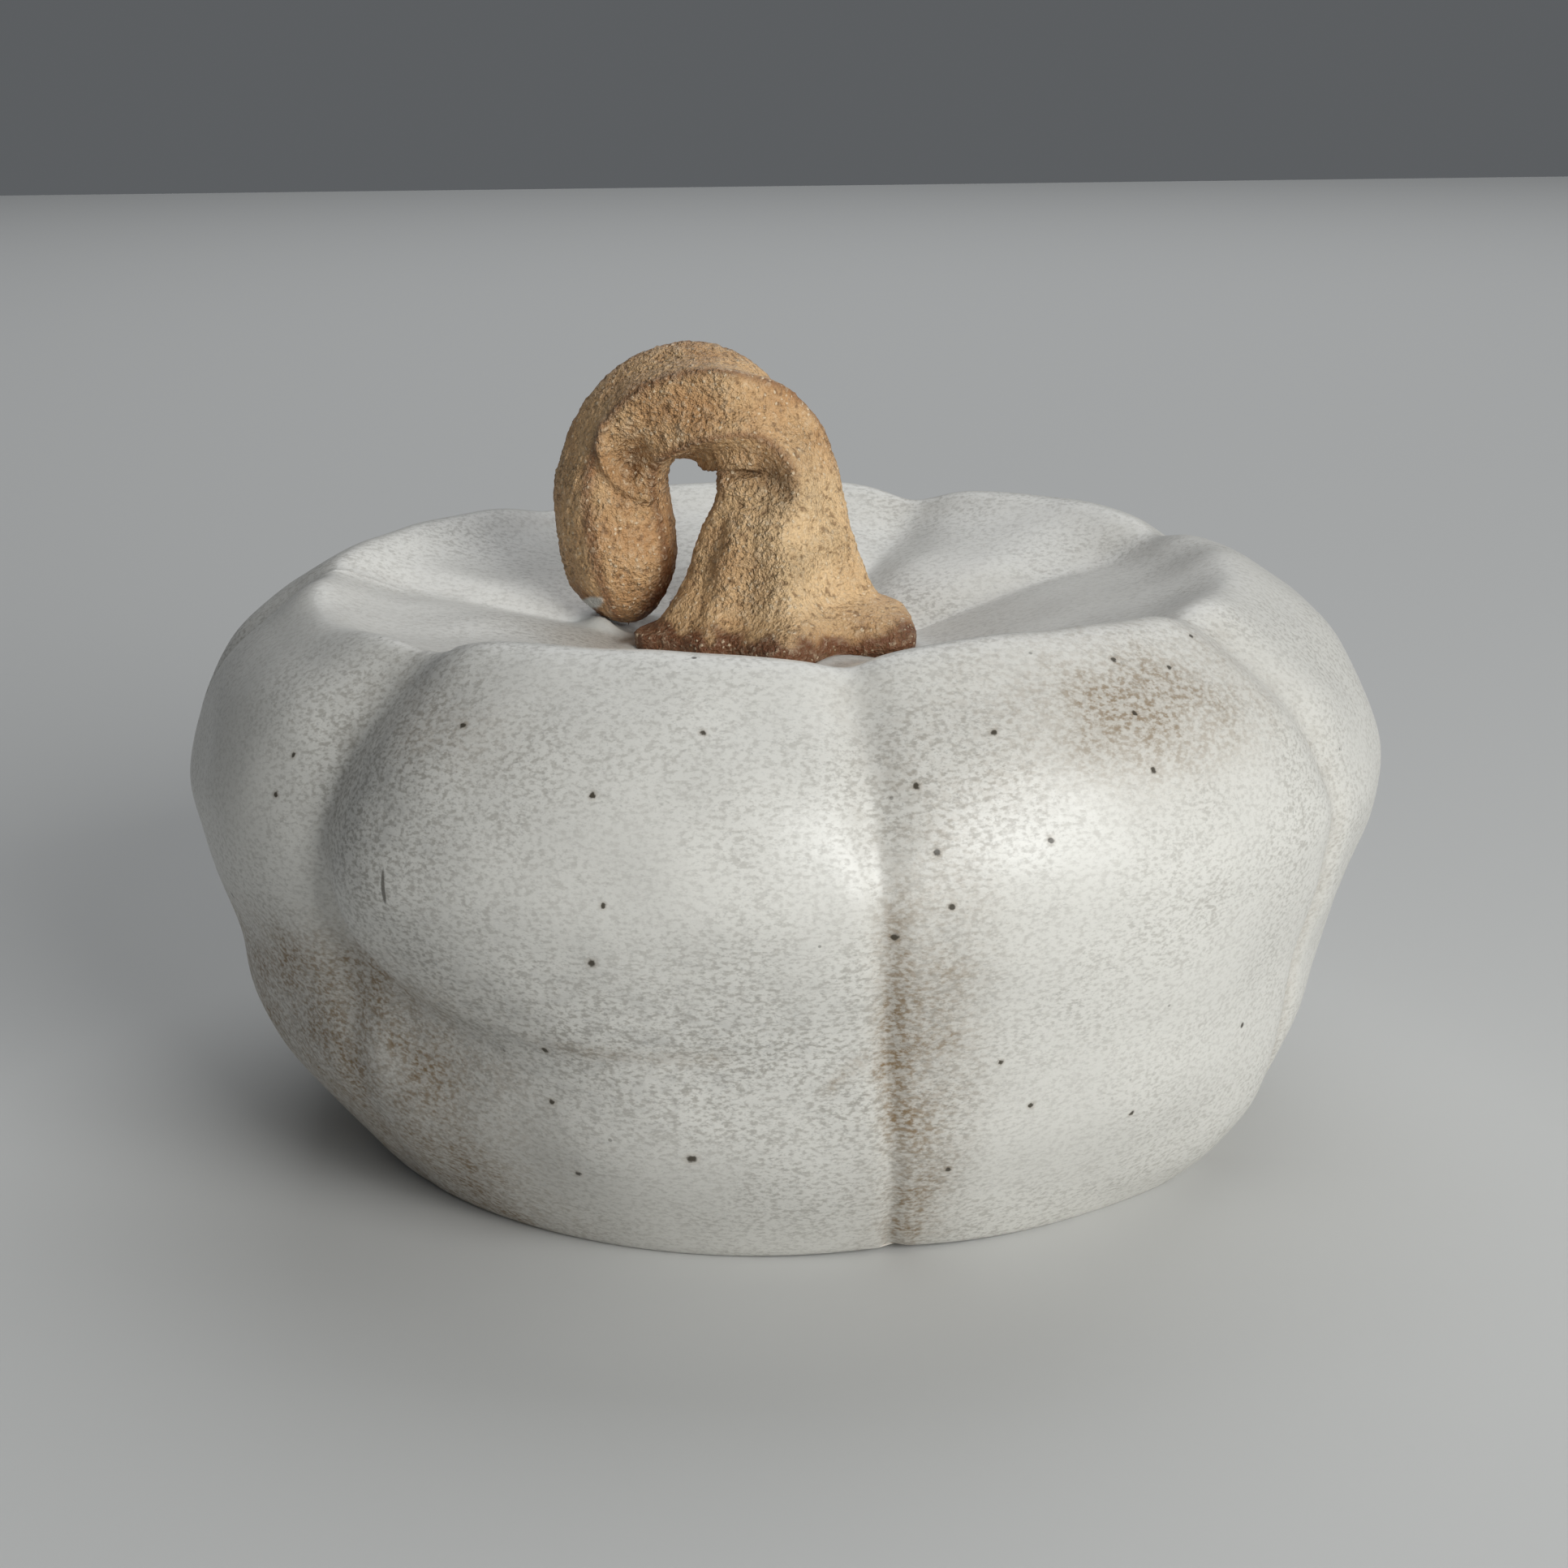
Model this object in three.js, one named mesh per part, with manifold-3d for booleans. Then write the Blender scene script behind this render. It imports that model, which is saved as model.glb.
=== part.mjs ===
// A hand-built stoneware pumpkin: a hollow glazed body of seven lobes, and a bare-clay stem that
// rises from its dimple, bends over to the left and comes back down onto the body beside its own foot.
// Units are millimetres, +Z is up. The origin is on the table under the middle of the body, and the
// pumpkin is looked at from -Y. Azimuths are in degrees, 0 at the front (-Y), growing to the right (+X).
import * as THREE from "three";
import { mergeVertices } from "three/addons/utils/BufferGeometryUtils.js";
import Module from "manifold-3d";

const wasm = await Module();
wasm.setup();

// The body's outline from the edge of its foot up over the crest and down into the dimple: distance
// from the axis, then height.
const OUTLINE = [
  [47.3, 0],
  [49.7, 1.5],
  [58.3, 14],
  [61.9, 26],
  [65.5, 36],
  [66.4, 43.5],
  [62.6, 52.7],
  [56.4, 58.7],
  [49.3, 62.6],
  [40.5, 59.4],
  [27, 56.2],
  [14, 52.4],
  [0, 51.4],
];
const GIRTH_POINT = 5; // the outline's widest point
const GIRTH_HEIGHT = OUTLINE[GIRTH_POINT][1];

// At each outline point: how far a lobe falls away towards its grooves, how deep the fine groove line
// itself is cut, and half the angle that the line takes up.
const LOBE_FALL = [0.6, 0.75, 1.05, 1.4, 1.8, 1.9, 1.9, 1.7, 1.4, 1.4, 1.3, 0.6, 0];
const LINE_DEPTH = [0.6, 0.8, 0.9, 0.9, 1.0, 1.1, 1.4, 1.5, 1.3, 1.1, 0.8, 0.3, 0];
const LINE_ANGLE = [2.0, 2.0, 2.0, 2.0, 2.3, 2.9, 4.0, 5.2, 5.7, 6.9, 8.0, 11.5, 11.5];
const LOBE_FULLNESS = 0.8; // under 1 gives a broad flat lobe, over 1 a pointed one

// The lobes, in order to the right from the front groove. Each one starts at its groove: the azimuth
// at the girth, how far the groove leans over down to the foot and up to the axis, its depth at the
// foot, its fine line beside the others' and how much of that is left at the foot, how soft its bottom
// is, and how far the lobe itself swells at foot, girth and crest.
const LOBE_KEYS = [
  "groove", "footLean", "topLean", "footDepth", "line", "footLine", "softness", "foot", "girth", "crest",
];
const LOBES = [
  [8, 4, 0, 1, 0.6, 1, 0.22, 0, 0, -0.2],
  [60, 4, -10, 0.1, 0.8, 1, 0.05, -1.6, -1.3, -1.8],
  [113, 0, 6, 0.5, 1, 0.6, 0.1, 0, 0, -1.1],
  [162, 0, -6, 0.6, 1, 0.6, 0.1, 0, 0, -0.6],
  [214, 0, 0, 0.6, 1, 0.6, 0.1, 0, -0.8, -1.6],
  [272, -4, -18, 0.6, 1.1, 0.6, 0.1, -0.2, -2, -3.4],
  [315.5, -12, 2, 0.1, 1.2, 0, 0.12, 0, 0, 0.1],
].map((row) => Object.fromEntries(LOBE_KEYS.map((key, i) => [key, row[i]])));
const FOOT_FADE = 0.7; // how quickly a groove takes up its depth at the foot: under 1 is soon
const FOOT_SWELL = [0.06, 0.16]; // where along the outline each swelling sits, and its half length
const GIRTH_SWELL = [0.42, 0.14];
const CREST_SWELL = [0.68, 0.12];

// The edge of the front left lobe's bulge, from its shoulder down and then off to the right: azimuth,
// height, and how far the wall outside it stands back.
const BULGE_EDGE = [
  [-41, 58, 0.3],
  [-44, 52, 1.2],
  [-45, 45, 1.6],
  [-44, 37.5, 1.9],
  [-41.5, 32.5, 2.1],
  [-37.5, 29, 2.0],
  [-33, 27.4, 1.6],
  [-26, 26.2, 0.9],
  [-16, 26.7, 0.35],
  [-6, 27.1, 0.15],
  [4, 26.3, 0],
];
const BULGE_RADIUS = 62; // turns azimuths along the edge into lengths
const BULGE_STEP = [-2.2, 2.6]; // the step down sits between these distances from the edge
const BULGE_RETURN = 9; // how far outside the edge the wall has mostly come back out
const TOE = { azimuth: 54, height: 7, angle: 11, rise: 7, push: 1.9 }; // beside the right groove's foot
const WALL_END = 0.75; // share of the outline that the bulge and the toe can reach
const LEAN = [-1.2, -0.9]; // how far the girth sits to the left of the foot, and in front of it
const WALL = 6.5;
const FLOOR = 7;
const FLAT_SHARE = 0.88; // the flat underside's radius beside the foot's
const VENT = { x: 24, y: 12, radius: 1.5, reach: 3 * FLOOR }; // lets the air out of the body in the kiln

// The stem's sections from its foot to its tip: centre, radius at the ridges, how deep the flutes
// between the ridges are as a share of it, how soft the ridges are, and how far they have turned.
const STEM_KEYS = ["x", "y", "z", "radius", "flute", "softness", "turn"];
const STEM = [
  [-0.6, 1.0, 48.6, 14.0, 0.2, 0.5, 0],
  [-0.6, 1.0, 51.4, 15.2, 0.24, 0.5, 0],
  [-0.6, 1.0, 53.4, 16.2, 0.26, 0.45, 0],
  [-0.6, 1.0, 55.1, 15.8, 0.26, 0.4, 1],
  [-0.7, 1.0, 57.3, 12.4, 0.24, 0.35, 5],
  [-0.6, 1.0, 60.3, 10.3, 0.2, 0.25, 4],
  [-0.5, 1.0, 64.4, 8.8, 0.16, 0.2, 4],
  [-0.4, 0.9, 68.3, 7.5, 0.16, 0.15, 12],
  [-0.9, 0.9, 71.8, 7.0, 0.18, 0.1, 15],
  [-2.2, 1.1, 74.7, 6.6, 0.21, 0.1, 2],
  [-4.8, 1.5, 77.0, 6.7, 0.23, 0.1, -24],
  [-8.2, 2.1, 78.2, 6.9, 0.23, 0.1, -39],
  [-11.8, 2.9, 77.8, 6.7, 0.2, 0.12, -44],
  [-15.1, 3.8, 76.0, 6.2, 0.14, 0.15, -48],
  [-17.3, 4.6, 72.6, 6.1, 0.1, 0.25, -51],
  [-18.2, 5.2, 68.4, 6.5, 0.07, 0.3, -53],
  [-17.9, 5.5, 64.2, 6.7, 0.05, 0.3, -55],
  [-17.5, 5.6, 60.2, 6.4, 0.04, 0.3, -57],
  [-17.2, 5.7, 57.3, 5.3, 0.04, 0.3, -58],
  [-17.0, 5.7, 55.2, 3.7, 0.04, 0.3, -58],
  [-16.9, 5.7, 53.9, 2.0, 0.04, 0.3, -58],
  [-16.9, 5.7, 53.3, 0, 0.04, 0.3, -58],
];
const STEM_RIDGES = 5;
const FIRST_RIDGE = 5; // azimuth of the front ridge at the foot

// At the foot the right ridge comes round to the front as a broad toe, and a lesser ridge runs down
// the left of the stem's front.
const RIGHT_TOE = {
  height: 54,
  rise: 2.8,
  shift: 20,
  shiftAt: 60,
  shiftWidth: 30,
  push: 1.9,
  pushAt: 50,
  pushWidth: 22,
};
const LESSER_RIDGE = { angle: -34, width: 12, share: 0.13, full: 64, top: 70 };
const NECK_RADIUS = 7.5; // the toe and the lesser ridge belong only to sections wider than this

// Hollows and swellings on the stem's front, seen square on: middle, half width and height, and depth.
const STEM_MARKS = [
  { x: -0.6, z: 70.9, wide: 2.6, high: 2.6, depth: 1.2 }, // the armpit where the arch leaves the neck
  { x: -4.2, z: 71.4, wide: 2.4, high: 0.9, depth: 0.9 }, // the crease under the arch
  { x: -15.8, z: 72.0, wide: 1.9, high: 2.8, depth: 1.3 }, // the pit inside the left shoulder's fold
  { x: -18.7, z: 73.6, wide: 0.9, high: 2.6, depth: -0.5 }, // the fold
];
const FRONT_DEPTH = 3; // how far in front of its middle line the stem's skin takes its marks in full
const GAP = 0.3; // left between the stem and the body that it stands on

// How finely the surfaces are divided.
const COLUMNS_PER_LOBE = 12;
const ROWS_PER_SPAN = 3;
const CAVITY_COLUMNS_PER_LOBE = 6;
const CAVITY_ROWS = 16;
const CAVITY_START = 0.17; // share of the outline where the inside wall leaves the floor
const GROOVE_CROWDING = 1.6; // over 1 puts the columns closer together beside the grooves
const STEM_COLUMNS = 35;
const STEM_ROWS = 60;
const VENT_SIDES = 12;
const SAME_POINT = 1e-3; // corners closer than this are joined

const radians = THREE.MathUtils.degToRad;
const bell = (distance, halfWidth) => Math.exp(-((distance / halfWidth) ** 2));

// A smooth value along a list of stations, from its first at 0 to its last at 1.
function track(values) {
  const curve = new THREE.SplineCurve(values.map((value) => new THREE.Vector2(value, 0)));
  return (t) => curve.getPoint(t).x;
}

const outline = new THREE.SplineCurve(OUTLINE.map(([r, z]) => new THREE.Vector2(r, z)));
const lobeFall = track(LOBE_FALL);
const lineDepth = track(LINE_DEPTH);
const lineAngle = track(LINE_ANGLE);
const GIRTH_T = GIRTH_POINT / (OUTLINE.length - 1);

// 0 below the low value, 1 above the high one, and a smooth S between them.
const between = (low, high, value) => THREE.MathUtils.smoothstep(value, low, high);

// The signed angle from b to a.
const degreesApart = (a, b) => THREE.MathUtils.euclideanModulo(a - b + 180, 360) - 180;

// |sine|, softened at 0 and still 1 at its highest.
function softened(sine, softness) {
  return (Math.hypot(sine, softness) - softness) / (Math.hypot(1, softness) - softness);
}

// How far the wall stands back outside the bulge's edge: a smooth step across the nearest piece of
// the edge, fading out again away from it.
function bulgeSetback(azimuth, height) {
  const onWall = (angle, z) => new THREE.Vector2(radians(angle) * BULGE_RADIUS, z);
  const here = onWall(degreesApart(azimuth, 0), height);
  let nearest = Infinity;
  let outward = 0;
  let depth = 0;
  for (let i = 0; i < BULGE_EDGE.length - 1; i++) {
    const [startAngle, startHeight, startDepth] = BULGE_EDGE[i];
    const [endAngle, endHeight, endDepth] = BULGE_EDGE[i + 1];
    const start = onWall(startAngle, startHeight);
    const step = onWall(endAngle, endHeight).sub(start);
    const offset = here.clone().sub(start);
    const share = THREE.MathUtils.clamp(offset.dot(step) / step.lengthSq(), 0, 1);
    const apart = offset.clone().addScaledVector(step, -share).length();
    if (apart >= nearest) continue;
    nearest = apart;
    outward = offset.cross(step) > 0 ? apart : -apart;
    depth = THREE.MathUtils.lerp(startDepth, endDepth, share);
  }
  return depth * between(BULGE_STEP[0], BULGE_STEP[1], outward) * bell(Math.max(outward, 0), BULGE_RETURN);
}

// A point of the body's skin: lobe, share of the way across it, share of the way along the outline,
// and a lift that moves it out along the outline's normal.
function skinPoint(lobe, across, t, lift) {
  const here = LOBES[lobe];
  const next = LOBES[(lobe + 1) % LOBES.length];
  const near = across < 0.5 ? here : next;
  const low = Math.max(0, (GIRTH_T - t) / GIRTH_T);
  const high = Math.max(0, (t - GIRTH_T) / (1 - GIRTH_T));
  const grooveAt = (one) => one.groove + one.footLean * low ** 2 + one.topLean * high;
  const start = grooveAt(here);
  const end = grooveAt(next) + (lobe === LOBES.length - 1 ? 360 : 0);
  const azimuth = start + (end - start) * across;
  const fromLine = Math.min(across, 1 - across) * (end - start);
  const middle = Math.sin(Math.PI * across);
  const toFoot = low ** FOOT_FADE;

  const depthShare = 1 + (THREE.MathUtils.lerp(here.footDepth, next.footDepth, across) - 1) * toFoot;
  const fall = (1 - softened(middle, near.softness) ** LOBE_FULLNESS) * lobeFall(t) * depthShare;
  const lineShare = near.line * (1 + (near.footLine - 1) * toFoot);
  const line = bell(fromLine, lineAngle(t) * near.line) * lineDepth(t) * lineShare;
  const footSwell = here.foot * bell(t - FOOT_SWELL[0], FOOT_SWELL[1]);
  const girthSwell = here.girth * bell(t - GIRTH_SWELL[0], GIRTH_SWELL[1]);
  const crestSwell = here.crest * bell(t - CREST_SWELL[0], CREST_SWELL[1]);
  const swell = (footSwell + girthSwell + crestSwell) * middle;

  const place = outline.getPoint(t);
  const along = outline.getTangent(t);
  const beside = degreesApart(azimuth, TOE.azimuth);
  const toe = TOE.push * bell(beside, TOE.angle) * bell(place.y - TOE.height, TOE.rise);
  const onWall = t < WALL_END ? toe - bulgeSetback(azimuth, place.y) : 0;
  const out = swell - fall - line + onWall + lift;
  const radius = Math.max(0, place.x + along.y * out);
  const height = Math.max(0, place.y - along.x * out);
  return leant(radius, azimuth, height);
}

// A point from its distance, azimuth and height, moved over by the body's lean.
function leant(radius, azimuth, height) {
  const share = height / GIRTH_HEIGHT - 1;
  return new THREE.Vector3(
    radius * Math.sin(radians(azimuth)) + LEAN[0] * share,
    -radius * Math.cos(radians(azimuth)) + LEAN[1] * share,
    height,
  );
}

// The columns round the body, as lobe and share across it, crowded beside the grooves.
function columnsOf(perLobe) {
  const columns = [];
  for (let lobe = 0; lobe < LOBES.length; lobe++) {
    for (let i = 0; i < perLobe; i++) {
      const u = i / perLobe;
      const fromGroove = 0.5 * (2 * Math.min(u, 1 - u)) ** GROOVE_CROWDING;
      columns.push({ lobe, across: u < 0.5 ? fromGroove : 1 - fromGroove });
    }
  }
  return columns;
}

// A closed surface from a pole, rings of points with the same count, and a second pole. The rings
// turn to the right as seen from the front, and the first pole is the lower or the earlier one.
function closedSurface(firstPole, rings, lastPole) {
  const count = rings[0].length;
  const points = [firstPole, ...rings.flat(), lastPole];
  const last = points.length - 1;
  const at = (ring, column) => 1 + ring * count + (column % count);
  const faces = [];
  for (let c = 0; c < count; c++) {
    faces.push(0, at(0, c + 1), at(0, c));
    for (let r = 0; r < rings.length - 1; r++) {
      faces.push(at(r, c), at(r, c + 1), at(r + 1, c + 1));
      faces.push(at(r, c), at(r + 1, c + 1), at(r + 1, c));
    }
    faces.push(last, at(rings.length - 1, c), at(rings.length - 1, c + 1));
  }
  return new THREE.BufferGeometry().setFromPoints(points).setIndex(faces);
}

// The body's outside, lifted off the real skin by a clearance where something has to stay clear of it.
function bodyOutside(lift) {
  const columns = columnsOf(COLUMNS_PER_LOBE);
  const rows = (OUTLINE.length - 1) * ROWS_PER_SPAN;
  const rings = [];
  for (let row = 0; row < rows; row++) {
    rings.push(columns.map(({ lobe, across }) => skinPoint(lobe, across, row / rows, lift)));
  }
  const middle = leant(0, 0, 0);
  const flat = rings[0].map((point) => point.clone().setZ(0).lerp(middle, 1 - FLAT_SHARE));
  const dimple = leant(0, 0, OUTLINE[OUTLINE.length - 1][1] + lift);
  return closedSurface(middle, [flat, ...rings], dimple);
}

// The hollow inside, a wall's thickness within the skin, on a flat floor.
function bodyInside() {
  const columns = columnsOf(CAVITY_COLUMNS_PER_LOBE);
  const rings = [];
  for (let row = 0; row < CAVITY_ROWS; row++) {
    const t = CAVITY_START + ((1 - CAVITY_START) * row) / CAVITY_ROWS;
    rings.push(columns.map(({ lobe, across }) => skinPoint(lobe, across, t, -WALL)));
  }
  const middle = leant(0, 0, FLOOR);
  const onFloor = rings[0].map((point) => point.clone().setZ(FLOOR).lerp(middle, 1 - FLAT_SHARE));
  const top = leant(0, 0, OUTLINE[OUTLINE.length - 1][1] - WALL);
  return closedSurface(middle, [onFloor, ...rings], top);
}

// The hole through the floor.
function ventHole() {
  const hole = new THREE.CylinderGeometry(VENT.radius, VENT.radius, VENT.reach, VENT_SIDES);
  return hole.rotateX(Math.PI / 2).translate(VENT.x, VENT.y, 0);
}

// How far the stem's skin stands from its middle line, in the direction of an angle of its section.
function stemReach(section, angle) {
  const atFoot = section.radius > NECK_RADIUS ? 1 : 0;
  const toe = atFoot * bell(section.z - RIGHT_TOE.height, RIGHT_TOE.rise);
  const shift = RIGHT_TOE.shift * toe * bell(degreesApart(angle, RIGHT_TOE.shiftAt), RIGHT_TOE.shiftWidth);
  const wave = Math.sin(radians((STEM_RIDGES / 2) * (angle + shift - FIRST_RIDGE - section.turn)));
  const push = RIGHT_TOE.push * toe * bell(degreesApart(angle, RIGHT_TOE.pushAt), RIGHT_TOE.pushWidth);
  const lesserShare = LESSER_RIDGE.share * (1 - between(LESSER_RIDGE.full, LESSER_RIDGE.top, section.z));
  const lesser = atFoot * lesserShare * bell(degreesApart(angle, LESSER_RIDGE.angle), LESSER_RIDGE.width);
  return section.radius * (1 - section.flute * softened(wave, section.softness) + lesser) + push;
}

// How far the marks draw the stem's skin in at a point.
function markDepth(point, middle) {
  let depth = 0;
  for (const mark of STEM_MARKS) {
    depth += mark.depth * bell(point.x - mark.x, mark.wide) * bell(point.z - mark.z, mark.high);
  }
  return depth * between(0, FRONT_DEPTH, middle.y - point.y);
}

// The stem: a fluted section carried along its bent middle line. The section is set out from the
// direction that faces the front and the one that points out of the bend.
function stemSurface() {
  const tracks = STEM_KEYS.map((key, i) => [key, track(STEM.map((row) => row[i]))]);
  const sectionAt = (t) => Object.fromEntries(tracks.map(([key, value]) => [key, value(t)]));
  const middleOf = (section) => new THREE.Vector3(section.x, section.y, section.z);
  const step = 1 / (STEM_ROWS * STEM_ROWS);
  const rings = [];
  for (let row = 0; row < STEM_ROWS; row++) {
    const t = row / STEM_ROWS;
    const section = sectionAt(t);
    const middle = middleOf(section);
    const behind = middleOf(sectionAt(Math.max(0, t - step)));
    const ahead = middleOf(sectionAt(Math.min(1, t + step))).sub(behind).normalize();
    const front = new THREE.Vector3(0, -1, 0).projectOnPlane(ahead).normalize();
    const outer = new THREE.Vector3().crossVectors(ahead, front);
    const ring = [];
    for (let column = 0; column < STEM_COLUMNS; column++) {
      const angle = (column / STEM_COLUMNS) * 360;
      const way = front.clone().multiplyScalar(Math.cos(radians(angle)));
      way.addScaledVector(outer, Math.sin(radians(angle)));
      const point = middle.clone().addScaledVector(way, stemReach(section, angle));
      ring.push(point.addScaledVector(way, -markDepth(point, middle)));
    }
    rings.push(ring);
  }
  return closedSurface(middleOf(sectionAt(0)), rings, middleOf(sectionAt(1)));
}

// A closed geometry as a solid that can be cut.
function solid(geometry) {
  const bare = geometry.clone();
  bare.deleteAttribute("normal");
  bare.deleteAttribute("uv");
  const merged = mergeVertices(bare, SAME_POINT);
  return new wasm.Manifold(
    new wasm.Mesh({
      numProp: 3,
      vertProperties: new Float32Array(merged.attributes.position.array),
      triVerts: new Uint32Array(merged.index.array),
    }),
  );
}

// A cut solid as a mesh of the scene.
function pieceOf(name, made, material) {
  const { vertProperties, triVerts } = made.getMesh();
  const geometry = new THREE.BufferGeometry();
  geometry.setAttribute("position", new THREE.BufferAttribute(new Float32Array(vertProperties), 3));
  geometry.setIndex(new THREE.BufferAttribute(new Uint32Array(triVerts), 1));
  geometry.computeVertexNormals();
  const mesh = new THREE.Mesh(geometry, material);
  mesh.name = name;
  return mesh;
}

const glaze = new THREE.MeshStandardMaterial({ color: "#c9c7c0", roughness: 0.35, metalness: 0 });
const bareClay = new THREE.MeshStandardMaterial({ color: "#a07c56", roughness: 0.9, metalness: 0 });

const shell = solid(bodyOutside(0)).subtract(solid(bodyInside())).subtract(solid(ventHole()));
const stem = solid(stemSurface()).subtract(solid(bodyOutside(GAP)));

const pumpkin = new THREE.Group();
pumpkin.add(pieceOf("body", shell, glaze));
pumpkin.add(pieceOf("stem", stem, bareClay));

export default pumpkin;
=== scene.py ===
"""A hand-built stoneware pumpkin on a pale studio floor.

The glazed body and the bare-clay stem are surfaces worked out as whole arrays in millimetres, in the
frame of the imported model, and turned into meshes in metres. Azimuths are in degrees, 0 at the front
(-Y) and growing to the right (+X).
"""
import itertools
import math

import bpy
import numpy as np
from mathutils import Matrix, Vector


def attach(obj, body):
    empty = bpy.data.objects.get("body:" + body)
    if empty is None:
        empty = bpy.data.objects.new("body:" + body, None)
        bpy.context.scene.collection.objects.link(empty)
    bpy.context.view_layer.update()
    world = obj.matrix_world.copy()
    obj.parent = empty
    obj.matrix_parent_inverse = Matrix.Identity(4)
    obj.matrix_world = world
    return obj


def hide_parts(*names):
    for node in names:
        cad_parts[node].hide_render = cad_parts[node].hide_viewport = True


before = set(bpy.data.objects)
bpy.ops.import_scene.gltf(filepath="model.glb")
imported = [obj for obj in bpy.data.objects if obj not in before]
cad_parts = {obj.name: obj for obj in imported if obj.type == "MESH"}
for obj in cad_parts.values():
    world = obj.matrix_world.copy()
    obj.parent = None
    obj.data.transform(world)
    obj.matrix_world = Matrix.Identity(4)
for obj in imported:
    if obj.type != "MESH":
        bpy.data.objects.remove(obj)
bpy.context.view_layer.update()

MM = 0.001

# The body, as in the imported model: distance from the axis and height along its outline, from the
# edge of its foot over the crest into the dimple.
OUTLINE = [
    (47.3, 0), (49.7, 1.5), (58.3, 14), (61.9, 26), (65.5, 36), (66.4, 43.5), (62.6, 52.7),
    (56.4, 58.7), (49.3, 62.6), (40.5, 59.4), (27, 56.2), (14, 52.4), (0, 51.4),
]
GIRTH_POINT = 5
CREST_POINT = 8
GIRTH_HEIGHT = OUTLINE[GIRTH_POINT][1]
GIRTH_T = GIRTH_POINT / (len(OUTLINE) - 1)
CREST_T = CREST_POINT / (len(OUTLINE) - 1)

# At each outline point: how far a lobe falls away to its grooves, the depth of the fine groove line,
# and the half angle that the line takes up.
LOBE_FALL = [0.6, 0.75, 1.05, 1.4, 1.8, 1.9, 1.9, 1.7, 1.4, 1.4, 1.3, 0.6, 0]
LINE_DEPTH = [0.6, 0.8, 0.9, 0.9, 1.0, 1.1, 1.4, 1.5, 1.3, 1.1, 0.8, 0.3, 0]
LINE_ANGLE = [2.0, 2.0, 2.0, 2.0, 2.3, 2.9, 4.0, 5.2, 5.7, 6.9, 8.0, 11.5, 11.5]
LOBE_FULLNESS = 0.8

# The lobes to the right from the front groove. Each one starts at its groove: the azimuth at the
# girth, its lean down to the foot and up to the axis, its depth at the foot, its fine line beside the
# others' and how much of that is left at the foot, how soft its bottom is, and how far the lobe itself
# swells at foot, girth and crest.
LOBE_KEYS = [
    "groove", "foot_lean", "top_lean", "foot_depth", "line", "foot_line", "softness",
    "foot", "girth", "crest",
]
LOBE_ROWS = [
    (8, 4, 0, 1, 0.6, 1, 0.22, 0, 0, -0.2),
    (60, 4, -10, 0.1, 0.8, 1, 0.05, -1.6, -1.3, -1.8),
    (113, 0, 6, 0.5, 1, 0.6, 0.1, 0, 0, -1.1),
    (162, 0, -6, 0.6, 1, 0.6, 0.1, 0, 0, -0.6),
    (214, 0, 0, 0.6, 1, 0.6, 0.1, 0, -0.8, -1.6),
    (272, -4, -18, 0.6, 1.1, 0.6, 0.1, -0.2, -2, -3.4),
    (315.5, -12, 2, 0.1, 1.2, 0, 0.12, 0, 0, 0.1),
]
LOBE_COUNT = len(LOBE_ROWS)
LOBES = dict(zip(LOBE_KEYS, np.array(LOBE_ROWS).T))
FOOT_FADE = 0.7

# Where along the outline each swelling sits, and its half length.
SWELLS = {"foot": (0.06, 0.16), "girth": (0.42, 0.14), "crest": (0.68, 0.12)}

# The edge of the front left lobe's bulge, from its shoulder down and then off to the right: azimuth,
# height, and how far the wall outside it stands back.
BULGE_EDGE = np.array([
    (-41, 58, 0.3), (-44, 52, 1.2), (-45, 45, 1.6), (-44, 37.5, 1.9), (-41.5, 32.5, 2.1), (-37.5, 29, 2.0),
    (-33, 27.4, 1.6), (-26, 26.2, 0.9), (-16, 26.7, 0.35), (-6, 27.1, 0.15), (4, 26.3, 0),
])
BULGE_RADIUS = 62
BULGE_STEP = (-2.2, 2.6)
BULGE_RETURN = 9
WALL_END = 0.75
MM_PER_DEGREE = math.radians(BULGE_RADIUS)

# The front right lobe's toe: it stands out beside the right groove.
TOE = dict(azimuth=54, height=7, angle=11, rise=7, push=1.9)
LEAN = (-1.2, -0.9)
FLAT_SHARE = 0.88
VENT = dict(x=24, y=12, radius=1.5, depth=6, sides=32)

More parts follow.
